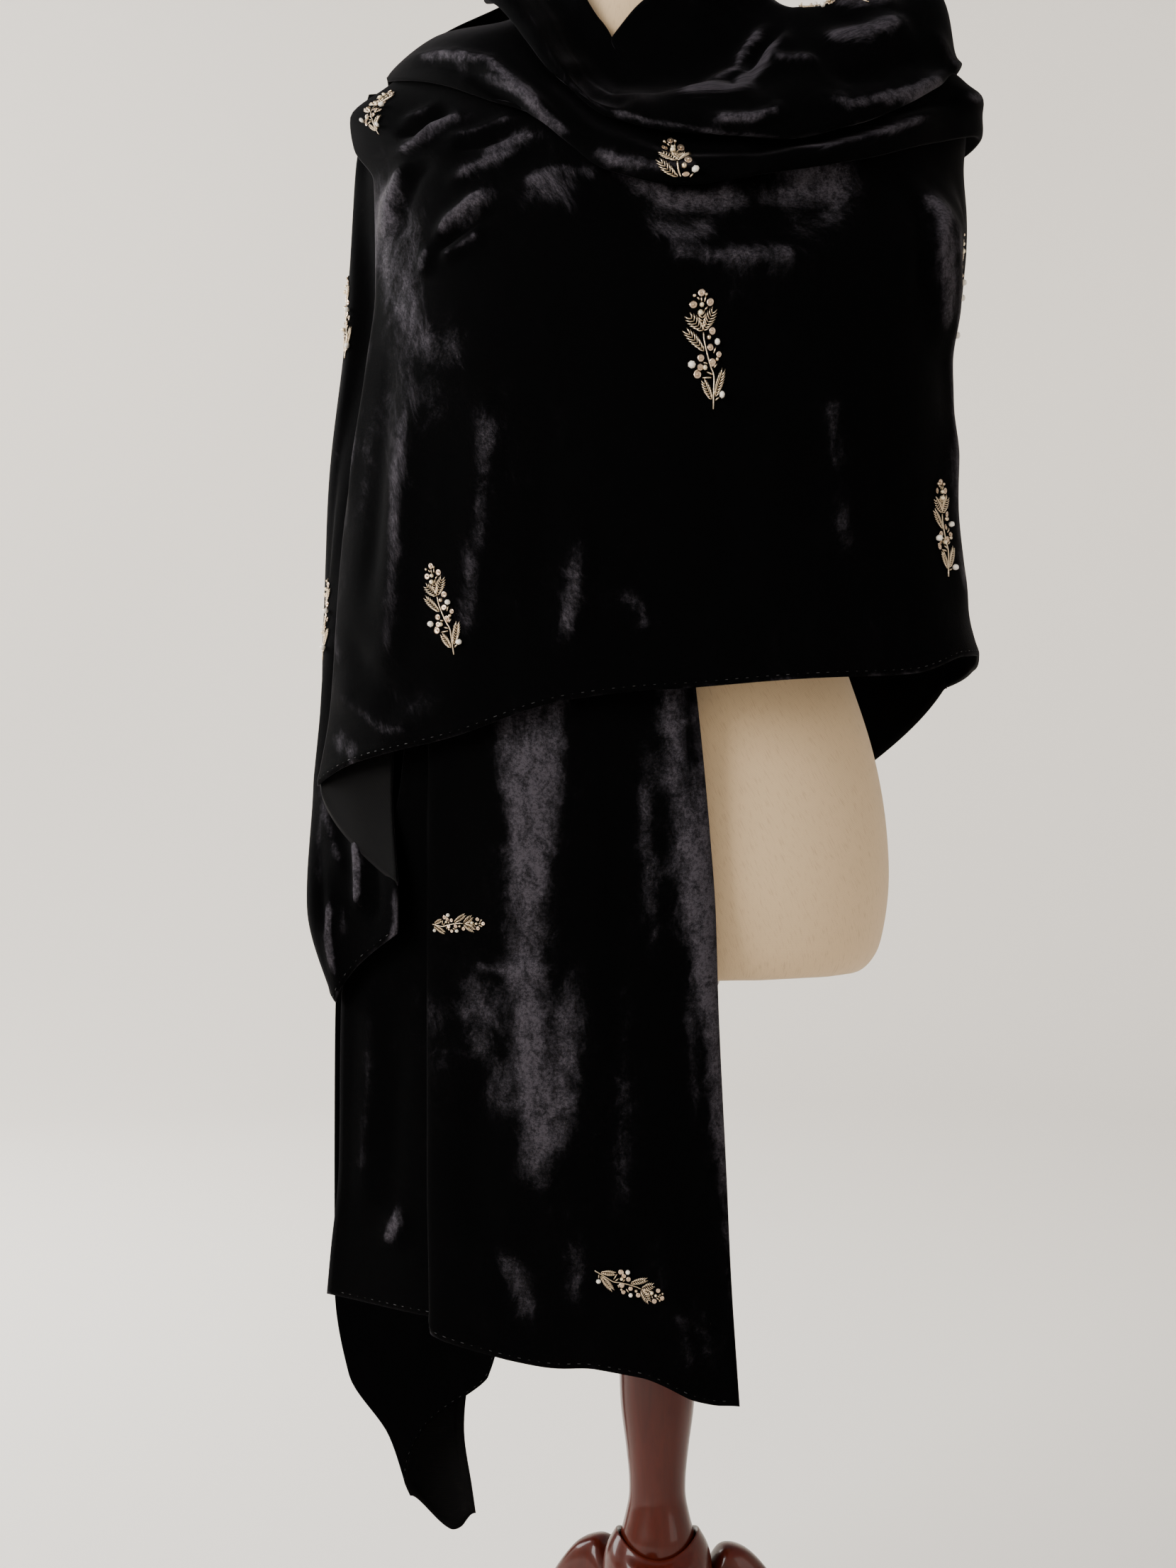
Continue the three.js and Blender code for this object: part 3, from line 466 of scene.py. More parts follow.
def back_tail(u, v):
    hem = hem_line(u, THROW_HEM_TURN, THROW_HEM_TIP, THROW_HEM_END, smooth)
    roll = (np.clip(v / THROW_SHARE, 0, 1) * np.pi / 2)[..., None]
    z = mix(THROW_DROP, hem, np.clip((v - THROW_SHARE) / (1 - THROW_SHARE), 0, 1))
    b = back_at(z)
    hanging = through([
        point(b["turnX"], b["turnY"] + 2.3, z),
        point(mix(b["turnX"], b["endX"], 0.25), mix(b["turnY"], b["endY"], 0.72) + 4, z),
        point(mix(b["turnX"], b["endX"], 0.7), b["endY"] + 3, z),
        point(b["endX"], b["endY"], z),
    ], u)
    edge, main, _, lip = cowl_lines(np.full(np.shape(u), COWL_END))
    between = mix(edge[0], main[0], 0.5), mix(edge[1], main[1], 0.5) + 6
    crown = through([point(-radius, CROWN_Y, height) for radius, height in (edge, between, main, lip)], u)
    share = np.concatenate([1 - np.cos(roll), np.sin(roll), 1 - np.cos(roll)], axis=-1)
    return mix(crown, hanging, share)


def back_drape(u, v):
    at = mix(DRAPE_START, DRAPE_END, u)
    top = mix(DRAPE_TOP_RIGHT, DRAPE_TOP_LEFT, smooth((-at - 120) / 60))
    z = mix(top, drape_hem_at(at)["z"], v ** 1.5)
    x, y = hanging_at(at, z)
    return point(x, y, z)


def front_tail(u, v):
    z = mix(TAIL_TOP, tail_hem_at(u)["z"], v)
    w = tail_at(z)

    def place(x, layer):
        round_off = np.sqrt(1 - (x / TAIL_CURVE_HALF) ** 2)
        return point(x, -(w["depth"] - layer * TAIL_LAYER) * round_off, z)

    return through([
        place(w["right"], 0.6),
        place(mix(w["right"], w["fold"], 0.35), -0.2),
        place(mix(w["right"], w["fold"], 0.75), 0),
        place(w["fold"], 0.25),
        place(w["fold"], 0.8),
        place(mix(w["fold"], w["inner"], 0.5), 1),
        place(w["inner"], 1.15),
        place(w["inner"], 1.85),
        place(mix(w["inner"], w["fold"], 0.9), 2),
        place(w["left"], 2),
    ], u)


# ---- soft ridges, troughs, and crushed pile with painted highlights --------------------------
# For each view, its two axes and the direction from the cloth to the viewer.
VIEW_AXES = {"front": (0, 2, (0, -1, 0)), "back": (0, 2, (0, 1, 0)), "left": (1, 2, (-1, 0, 0)),
             "right": (1, 2, (1, 0, 0)), "top": (0, 1, (0, 0, 1))}


def strength_along(points, normals, view, path, width, taper=0.25):
    """How near each point lies to a path drawn in one view: 1 on it, fading over its width."""
    a, b, facing = VIEW_AXES[view]
    flat = points[:, [a, b]]
    path = np.array(path, float)
    steps = np.hypot(*np.diff(path, axis=0).T)
    total = max(steps.sum(), 1e-6)
    best = np.full(len(flat), 1e9)
    share = np.zeros(len(flat))
    begun = 0.0
    for start, end, length in zip(path[:-1], path[1:], steps):
        t = np.clip(((flat - start) @ (end - start)) / max(length, 1e-6) ** 2, 0, 1)
        gap = np.hypot(*(flat - (start + t[:, None] * (end - start))).T)
        near = gap < best
        best[near] = gap[near]
        share[near] = ((begun + t * length) / total)[near]
        begun += length
    ends = smooth(share / taper) * smooth((1 - share) / taper) if taper else 1
    seen = smooth((normals @ np.array(facing, float) + 0.1) / 0.45)
    return np.exp(-((best / width) ** 2)) * ends * seen


def grid_normals(points, across, down):
    g = points.reshape(down + 1, across + 1, 3)
    along = np.gradient(g, axis=1)
    fall = np.gradient(g, axis=0)
    n = np.cross(along, fall)
    return (n / np.maximum(np.linalg.norm(n, axis=-1, keepdims=True), 1e-9)).reshape(-1, 3)


# ---- shader helpers --------------------------------------------------------------------------
class Value:
    """A number in a shader; sums written with it become Math nodes."""

    def __init__(self, shader, socket):
        self.shader, self.socket = shader, socket

    def __add__(self, other):
        return self.shader.math("ADD", self, other)

    def __radd__(self, other):
        return self.shader.math("ADD", other, self)

    def __sub__(self, other):
        return self.shader.math("SUBTRACT", self, other)

    def __rsub__(self, other):
        return self.shader.math("SUBTRACT", other, self)

    def __mul__(self, other):
        return self.shader.math("MULTIPLY", self, other)


class Shader:
    """One material with a Principled shader, and short ways to add nodes to it."""

    def __init__(self, name, **uniform):
        self.material = bpy.data.materials.new(name)
        self.material.use_nodes = True
        self.tree = self.material.node_tree
        self.surface = self.tree.nodes["Principled BSDF"]
        for socket, value in uniform.items():
            self.surface.inputs[socket.replace("_", " ")].default_value = value
        self.material.diffuse_color = (*uniform.get("Base_Color", (0.5, 0.5, 0.5, 1))[:3], 1)

    def math(self, operation, a, b):
        return self.node("ShaderNodeMath", {"operation": operation}, {0: a, 1: b})

    def node(self, kind, settings=None, inputs=None, output=0):
        made = self.tree.nodes.new(kind)
        for key, value in (settings or {}).items():
            setattr(made, key, value)
        for key, value in (inputs or {}).items():
            self.plug(made.inputs[key], value)
        return Value(self, made.outputs[output])

    def plug(self, socket, value):
        if isinstance(value, Value):
            self.tree.links.new(value.socket, socket)
        else:
            socket.default_value = value

    def feed(self, **inputs):
        for key, value in inputs.items():
            self.plug(self.surface.inputs[key.replace("_", " ")], value)
        return self.material

    def place(self, scale=(1, 1, 1), uv=False):
        where = self.node("ShaderNodeTexCoord", output="UV" if uv else "Object")
        return self.node("ShaderNodeMapping", {}, {"Vector": where, "Scale": scale})

    def nap_and_sheen(self):
        """How crushed the pile is, with painted highlights on lit folds, ridges and hems, as the cloth's mesh
        tells it.
        """
        return self.node("ShaderNodeAttribute", {"attribute_name": "nap_and_sheen"}, output=2)

    def wave(self, place, direction, scale, warp, **more):
        """Stripes across a direction."""
        inputs = {"Vector": place, "Scale": scale, "Distortion": warp, **more}
        return self.node("ShaderNodeTexWave", {"bands_direction": direction}, inputs, output=1)

    def noise(self, place, scale, detail=3, rough=0.5, warp=0.0):
        return self.node(
            "ShaderNodeTexNoise", {},
            {"Vector": place, "Scale": scale, "Detail": detail, "Roughness": rough, "Distortion": warp},
        )

    def ramp(self, value, low, high):
        """0 below low, 1 above high, smooth between."""
        return self.node(
            "ShaderNodeMapRange", {"interpolation_type": "SMOOTHSTEP"},
            {"Value": value, "From Min": low, "From Max": high},
        )

    def colours(self, share, a, b):
        return self.node(
            "ShaderNodeMix", {"data_type": "RGBA"}, {"Factor": share, 6: (*a, 1), 7: (*b, 1)}, output=2,
        )

    def bump(self, height, strength, distance, under=None):
        inputs = {"Height": height, "Strength": strength, "Distance": distance}
        if under is not None:
            inputs["Normal"] = under
        return self.node("ShaderNodeBump", {}, inputs)


# ---- settings ----------------------------------------------------------------------------------
def length(name, description, metres):
    return bpy.props.FloatProperty(name=name, description=description, default=metres, unit="LENGTH")


def colour(name, description, value):
    return bpy.props.FloatVectorProperty(name=name, description=description, default=value, subtype="COLOR")


class ScarfClothSettings(bpy.types.PropertyGroup):
    thickness: length("Thickness", "Thickness of the pile cloth", 1.4 * MM)
    hem_width: length("Hem width", "Width of the turned hem", 9 * MM)
    hem_swell: length("Hem swell", "What the turned hem adds to the thickness", 0.9 * MM)
    crease_depth: bpy.props.FloatProperty(
        name="Crease depth", description="Share of each crease's own depth", default=1.0, min=0, max=1.5)
    pile: colour("Pile", "Colour of the pile lying straight", (0.0002, 0.0002, 0.0003))
    # Colour of crushed pile, also the colour of the painted highlights on the velvet.
    crushed_and_sheen: colour("Crushed pile", "Colour of the pile where it is crushed", (0.038, 0.034, 0.041))
    reverse: colour("Reverse", "Colour of the cloth's plain side", (0.0078, 0.0073, 0.0081))


class ScarfTrimSettings(bpy.types.PropertyGroup):
    sprig_length: length("Sprig length", "Length of one embroidered sprig", 83 * MM)
    stitch_pitch: length("Stitch pitch", "Distance between two hem stitches", 7 * MM)
    gold: colour("Gold thread", "Colour of the couched gold thread", (0.76, 0.61, 0.43))
    sequin: colour("Sequin", "Colour of the sequins", (0.56, 0.42, 0.31))
    pearl: colour("Pearl", "Colour of the pearls", (0.66, 0.62, 0.55))


class ScarfStageSettings(bpy.types.PropertyGroup):
    lens: bpy.props.FloatProperty(
        name="Lens", description="Focal length of the camera", default=48, unit="CAMERA")
    sensor: bpy.props.FloatProperty(
        name="Sensor", description="Long side of the camera's sensor", default=34.6, unit="CAMERA")
    distance: length("Distance", "From the pole's axis to the camera", 1.631)
    height: length("Height", "Height of the camera", 0.8235)
    side: length("Side step", "How far the camera stands to the left", 0.052)
    linen: colour("Linen", "Colour of the form's cover", (0.58, 0.42, 0.255))
    wood: colour("Wood", "Colour of the stand", (0.048, 0.0062, 0.0028))
    paper: colour("Backdrop", "Colour of the floor and backdrop", (0.84, 0.795, 0.735))


# ---- building meshes ----------------------------------------------------------------------------
def tube_faces(rings, around, first=0):
    """Quads between rings of points, numbered from the first point of the lowest ring."""
    faces = []
    for low in range(first, first + (rings - 1) * around, around):
        high = low + around
        faces += [
            (low + i, high + i, high + (i + 1) % around, low + (i + 1) % around) for i in range(around)
        ]
    return faces


def mesh_object(name, points, faces, materials, face_material=None, uv=None, edges=()):
    """A mesh object in metres from points in millimetres about the pole's axis."""
    mesh = bpy.data.meshes.new(name)
    mesh.from_pydata((np.asarray(points) * MM + AXIS).tolist(), edges, faces)
    for material in materials:
        mesh.materials.append(material)
    if face_material is not None:
        mesh.polygons.foreach_set("material_index", np.asarray(face_material, dtype=np.int32))
    mesh.polygons.foreach_set("use_smooth", [True] * len(mesh.polygons))
    if uv is not None:
        layer = mesh.uv_layers.new(name="cloth")
        corners = np.empty(len(mesh.loops), dtype=np.int32)
        mesh.loops.foreach_get("vertex_index", corners)
        layer.data.foreach_set("uv", np.asarray(uv)[corners].astype(np.float32).ravel())
    mesh.update()
    made = bpy.data.objects.new(name, mesh)
    bpy.context.scene.collection.objects.link(made)
    return made


def keep(piece, slot, *nodes):
    """The piece rides with the whole object in place of these CAD nodes, which are hidden; the slot is not
    used.
    """
    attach(piece, "root")
    if nodes:
        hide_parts(*nodes)
    return piece


class Stretch:
    """One stretch of the scarf: its smooth surface with creases, as a grid of points."""

    # rim is the strength of the painted highlight along the hems.
    def __init__(self, name, surface, across, down, outward=1, creases=(), nap_and_sheen=(), moves=(),
                 hems=("bottom",), rim=0.16):
        self.name, self.across, self.down, self.outward, self.hems = name, across, down, outward, hems
        rows, columns = down + 1, across + 1
        shares = np.linspace(0, 1, rows), np.linspace(0, 1, columns)
        v, u = (g.ravel() for g in np.meshgrid(*shares, indexing="ij"))
        base = surface(u, v)
        for view, path, width, shift in moves:
            facing = np.tile(VIEW_AXES[view][2], (len(base), 1))
            base = base + strength_along(base, facing, view, path, width, 0)[:, None] * np.array(shift)
        normals = grid_normals(base, across, down) * outward
        depth = bpy.context.scene.scarf_cloth.crease_depth
        lift = np.zeros(len(base))
        self.nap_and_sheen = np.zeros(len(base))
        for view, path, height, width in creases:
            near = strength_along(base, normals, view, path, width)
            lift += depth * height * near
            # A painted highlight along each ridge's crest.
            self.nap_and_sheen += max(height, 0) * RIDGE_SHEEN * near ** 4
        self.u, self.v = u, v
        self.points = base + normals * (lift * self.calm())[:, None]
        self.normals = grid_normals(self.points, across, down)
        # Painted highlights and crushed pile from the tables.
        for view, path, amount, width in nap_and_sheen:
            self.nap_and_sheen += amount * strength_along(base, normals, view, path, width, 0.35)
        grid = self.points.reshape(rows, columns, 3)
        steps, drops = (np.linalg.norm(np.diff(grid, axis=axis), axis=2) for axis in (1, 0))
        self.along = np.concatenate([np.zeros((rows, 1)), steps.cumsum(1)], 1)
        self.fall = np.concatenate([np.zeros((1, columns)), drops.cumsum(0)])
        # A painted highlight along the hems.
        self.nap_and_sheen += rim * np.exp(-((self.edge_distance() / HEM_SHEEN_WIDTH) ** 2))

    def calm(self):
        """Creases die away where a stretch joins the next one."""
        return smooth(np.minimum(self.u, 1 - self.u) / 0.02 + 0.1)

    def edge_distance(self):
        """Distance of each point from the nearest hem, in millimetres."""
        gaps = {
            "bottom": self.fall[-1:] - self.fall, "top": self.fall,
            "right": self.along, "left": self.along[:, -1:] - self.along,
        }
        far = np.full((self.down + 1, self.across + 1), 1e3)
        for hem in self.hems:
            far = np.minimum(far, gaps[hem])
        return far.ravel()

    def shell(self, face, reverse):
        """The closed wall of the stretch, velvet on its outward side."""
        cloth = bpy.context.scene.scarf_cloth
        distance = self.edge_distance()
        inside_hem = smooth((cloth.hem_width / MM - distance) / HEM_FADE)
        half = cloth.thickness / MM / 2 + cloth.hem_swell / MM / 2 * inside_hem
        half = half * np.sqrt(np.clip(1 - (1 - np.clip(distance / EDGE_ROUND, 0, 1)) ** 2, EDGE_LEAST, 1))
        sides = [self.points + self.normals * (half * way)[:, None] for way in (1, -1)]
        count, columns = len(self.points), self.across + 1
        j, i = np.meshgrid(np.arange(self.down), np.arange(self.across), indexing="ij")
        a = (j * columns + i).ravel()
        front = np.stack([a, a + 1, a + columns + 1, a + columns], 1)
        back = front[:, ::-1] + count
        rim = np.concatenate([
            np.arange(self.across), np.arange(self.across, count - 1, columns),
            np.arange(count - 1, count - columns, -1), np.arange(count - columns, 0, -columns),
        ])
        after = np.roll(rim, -1)
        edge = np.stack([rim, rim + count, after + count, after], 1)
        faces = np.concatenate([front, back, edge])
        other = 0 if self.outward > 0 else 1
        materials = np.concatenate([
            np.full(len(front), other), np.full(len(back), 1 - other), np.zeros(len(edge), int),
        ])
        uv = np.stack([self.along.ravel(), -self.fall.ravel()], 1) * MM
        piece = mesh_object(
            self.name, np.concatenate(sides), faces.tolist(), [face, reverse], materials,
            np.concatenate([uv, uv]),
        )
        # Crushed pile and painted highlights, kept per point for the shaders.
        nap_and_sheen = piece.data.attributes.new("nap_and_sheen", "FLOAT", "POINT")
        nap_and_sheen.data.foreach_set("value", np.concatenate([self.nap_and_sheen, self.nap_and_sheen]).astype(np.float32))
        return piece


def turned(name, profile, material, across, fine):
    """A closed turned piece from (height, radius) rows, smoothed between them."""
    rows = np.array([(r, z, 0) for z, r in profile], float)
    t = np.linspace(0, 1, (len(rows) - 1) * fine + 1)
    line = through([np.broadcast_to(row, (len(t), 3)) for row in rows], t)
    angle = np.linspace(0, 2 * np.pi, across, endpoint=False)
    radius, z = np.maximum(line[:, 0], 0)[:, None], line[:, 1][:, None]
    points = point(radius * np.cos(angle), radius * np.sin(angle), z).reshape(-1, 3)
    faces = tube_faces(len(t), across)
    faces += [tuple(range(across)), tuple(len(points) - 1 - i for i in range(across))]
    made = mesh_object(name, points, faces, [material])
    tidy_mesh(made)
    return made


def curved_leg(name, azimuth, material, across=28, along=90, squareness=0.7):
    """A curved leg with a rounded section between its top line and its underside."""
    t = np.linspace(0, 1, along)
    top, under = (
        through([np.broadcast_to((r, z, 0), (along, 3)) for r, z in rows], t)[:, :2]
        for rows in (LEG_TOP, LEG_UNDER)
    )
    middle, reach = (top + under) / 2, (top - under) / 2
    angle = np.linspace(0, 2 * np.pi, across, endpoint=False)
    c, s = np.cos(angle), np.sin(angle)
    high = np.sign(c) * np.abs(c) ** squareness
    narrowing = (1 - 0.25 * smooth(t * 2 - 0.7))[:, None]
    wide = np.sign(s) * np.abs(s) ** squareness * LEG_WIDTH / 2 * narrowing
    section = middle[:, None] + reach[:, None] * high[None, :, None]
    a = math.radians(azimuth)
    radial, z = section[..., 0], np.maximum(section[..., 1], 0)
    points = point(radial * math.cos(a) - wide * math.sin(a), radial * math.sin(a) + wide * math.cos(a), z)
    faces = tube_faces(along, across)
    faces += [tuple(range(across)), tuple((along - 1) * across + i for i in reversed(range(across)))]
    made = mesh_object(name, points.reshape(-1, 3), faces, [material])
    tidy_mesh(made)
    return made


def tidy_mesh(piece, weld=1e-6):
    """Merges doubled points, drops the empty faces that leaves and points all faces outwards."""
    work = bmesh.new()
    work.from_mesh(piece.data)
    bmesh.ops.remove_doubles(work, verts=work.verts, dist=weld)
    bmesh.ops.dissolve_degenerate(work, edges=work.edges, dist=weld)
    bmesh.ops.recalc_face_normals(work, faces=work.faces)
    work.to_mesh(piece.data)
    work.free()
    piece.data.update()


def smooth_copy(name, node, material, levels):
    """A rounder copy of a CAD solid: its triangles joined to quads and subdivided."""
    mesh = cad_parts[node].data.copy()
    mesh.materials.clear()
    mesh.materials.append(material)
    made = bpy.data.objects.new(name, mesh)
    bpy.context.scene.collection.objects.link(made)
    work = bmesh.new()
    work.from_mesh(mesh)
    bmesh.ops.remove_doubles(work, verts=work.verts, dist=1e-5)
    bmesh.ops.join_triangles(
        work, faces=work.faces, angle_face_threshold=QUAD_ANGLE, angle_shape_threshold=math.pi,
    )
    work.to_mesh(mesh)
    work.free()
    mesh.polygons.foreach_set("material_index", [0] * len(mesh.polygons))
    mesh.polygons.foreach_set("use_smooth", [True] * len(mesh.polygons))
    rounder = made.modifiers.new("rounder", "SUBSURF")
    rounder.levels = rounder.render_levels = levels
    return applied(made)


def applied(piece):
    """The piece with its modifiers made part of its mesh."""
    evaluated = piece.evaluated_get(bpy.context.evaluated_depsgraph_get())
    mesh = bpy.data.meshes.new_from_object(evaluated)
    piece.modifiers.clear()
    piece.data = mesh
    return piece


# ---- finishes ------------------------------------------------------------------------------------
def velvet():
    """Silk velvet: near black, paler at random where the pile is crushed, and with painted highlights on lit
    folds, ridges and hems.
    """
    cloth = bpy.context.scene.scarf_cloth
    s = Shader(
        "silk_velvet", Base_Color=(*cloth.pile, 1), Sheen_Weight=0.06, Sheen_Roughness=0.2,
        Sheen_Tint=(0.80, 0.74, 0.84, 1), Specular_IOR_Level=0.025,
    )
    where = s.place(uv=True)
    stretched = s.place(scale=(1, 0.6, 1), uv=True)
    cloud = s.noise(stretched, 62, 8, 0.74, 0.5)
    drift = s.noise(stretched, 17, 4, 0.6, 1.0)
    fleck = s.noise(where, 400, 4, 0.8)
    mottle = s.noise(stretched, 120, 5, 0.7, 0.4)
    grain = s.noise(where, 1900, 2, 0.7)
    # Crushed pile and painted highlights from the mesh, broken into patches by noise.
    laid_and_sheen = s.nap_and_sheen() + (cloud - 0.5) * 1.25 + (drift - 0.5) * 0.8
    crushed_and_sheen = s.ramp(laid_and_sheen, 0.24, 1.02)
    specks = s.ramp(fleck * 0.62 + grain * 0.38, 0.42, 0.62)
    worn = s.ramp(mottle, 0.30, 0.66)
    streaks = crushed_and_sheen * (0.10 + worn * 0.42 + specks * (0.35 + worn * 1.1))
    pale = streaks + s.ramp(laid_and_sheen, 0.02, 0.60) * specks * 0.07
    return s.feed(
        # Painted highlights: the paler colour is mixed in where the pile is crushed or a highlight is
        # painted.
        Base_Color=s.colours(pale, cloth.pile, cloth.crushed_and_sheen),
        Roughness=0.9 - crushed_and_sheen * 0.3,
        Normal=s.bump(cloud * 0.5 + fleck * 0.3 + grain * 0.2, 0.45, 1.4 * MM),
    )


def satin():
    """The scarf's plain side: a dull twill satin in painted shade, paler where the nap attribute paints light
    on it.
    """
    cloth = bpy.context.scene.scarf_cloth
    s = Shader("satin_reverse", Base_Color=(*cloth.reverse, 1), Specular_IOR_Level=0.03)
    where = s.place(uv=True)
    twill = s.wave(where, "DIAGONAL", 330, 0.6, Detail=1)
    cloud = s.noise(where, 22, 3)
    # Painted shade: the plain side is darkened to this, and painted light brings it back to its own colour.
    shaded = tuple(0.16 * c for c in cloth.reverse)
    lit = (0.5 + cloud * 0.6 + twill * 0.3) * s.ramp(s.nap_and_sheen(), 0, 1)
    return s.feed(
        Base_Color=s.colours(lit, shaded, cloth.reverse),
        Roughness=0.5 + cloud * 0.14,
        Normal=s.bump(twill, 0.25, 0.25 * MM),
    )


def linen():
    """The form's cover: a beige woven cloth with slubs, laid on the bias."""
    stage = bpy.context.scene.scarf_stage
    s = Shader("woven_linen", Base_Color=(*stage.linen, 1), Specular_IOR_Level=0.2, Sheen_Weight=0.15)
    spot = s.node("ShaderNodeTexCoord", output=3)
    x, y, z = (s.node("ShaderNodeSeparateXYZ", {}, {0: spot}, output=i) for i in range(3))
    turn = s.math("ARCTAN2", x, y - AXIS_Y) * LINEN_RADIUS
    flat = s.node("ShaderNodeCombineXYZ", {}, {0: turn, 1: z})
    bias = s.node("ShaderNodeMapping", {}, {"Vector": flat, "Rotation": (0, 0, math.radians(28))})
    warp, weft = (
        s.wave(bias, direction, scale, uneven, **{"Detail": 2, "Detail Scale": 2})
        for direction, scale, uneven in (("X", 300, 1.2), ("Y", 260, 1.6))
    )
    slubs_at = s.node("ShaderNodeMapping", {}, {"Vector": bias, "Scale": (1, 0.12, 1)})
    slubs = s.ramp(s.noise(slubs_at, 900, 2, 0.5), 0.52, 0.74)
    weave = (warp + weft) * 0.5
    cloud = s.noise(spot, 7, 3)
    deeper = tuple(0.62 * c for c in stage.linen)
    return s.feed(
        Base_Color=s.colours(slubs * 0.45 + weave * 0.22 + cloud * 0.18, stage.linen, deeper),
        Roughness=0.78 + weave * 0.1,
        Normal=s.bump(weave + slubs * 0.4, 0.4, 0.3 * MM),
    )


def mahogany():
    """Polished red-brown wood with a clear coat."""
    stage = bpy.context.scene.scarf_stage
    s = Shader(
        "polished_mahogany", Base_Color=(*stage.wood, 1), Coat_Weight=0.3, Coat_Roughness=0.08,
        Specular_IOR_Level=0.12,
    )
    grain_at = s.place(scale=(1, 1, 0.08))
    rings = s.noise(grain_at, 120, 4, 0.6, 1.2)
    pores = s.ramp(s.noise(s.place(scale=(1, 1, 0.05)), 900, 2), 0.56, 0.7)
    darker = tuple(0.35 * c for c in stage.wood)
    return s.feed(
        Base_Color=s.colours(s.ramp(rings, 0.35, 0.72) * 0.4 + pores * 0.1, stage.wood, darker),
        Roughness=0.28 + pores * 0.18,
        Normal=s.bump(pores, 0.08, 0.1 * MM),
    )


def trim_finishes():
    """Gold thread, sequins, pearls and crystals."""
    trim = bpy.context.scene.scarf_trim
    thread = Shader("gold_thread", Base_Color=(*trim.gold, 1), Metallic=1.0, Roughness=0.34)
    coil = thread.noise(thread.place(), 2600, 1)
    thread.feed(
        Roughness=0.14 + coil * 0.3,
        Base_Color=thread.colours(coil, trim.gold, tuple(0.55 * c for c in trim.gold)),
        Normal=thread.bump(coil, 0.5, 0.2 * MM),
    )
    sequin = Shader("sequin", Base_Color=(*trim.sequin, 1), Metallic=0.85)
    tone = sequin.noise(sequin.place(), 420, 1)
    sequin.feed(
        Roughness=0.14 + tone * 0.22,
        Base_Color=sequin.colours(tone, trim.sequin, tuple(0.72 * c for c in trim.sequin)),
    )
    pearl = Shader("pearl", Base_Color=(*trim.pearl, 1), Coat_Weight=0.7, Coat_Roughness=0.08)
    lustre = pearl.noise(pearl.place(), 500, 1)
    pearl.feed(
        Base_Color=pearl.colours(lustre, trim.pearl, (0.74, 0.68, 0.60)), Roughness=0.22 + lustre * 0.1,
    )
    crystal = Shader("crystal", Base_Color=(0.85, 0.72, 0.48, 1), Metallic=0.5)
    facet = crystal.noise(crystal.place(), 700, 1)
    crystal.feed(
        Base_Color=crystal.colours(facet, (0.90, 0.80, 0.60), (0.55, 0.42, 0.24)),
        Roughness=0.08 + facet * 0.1,
    )
    return [thread.material, sequin.material, pearl.material, crystal.material]


def finish_named(name, make):
    """The material of that name, made the first time it is asked for."""
    return bpy.data.materials.get(name) or make()


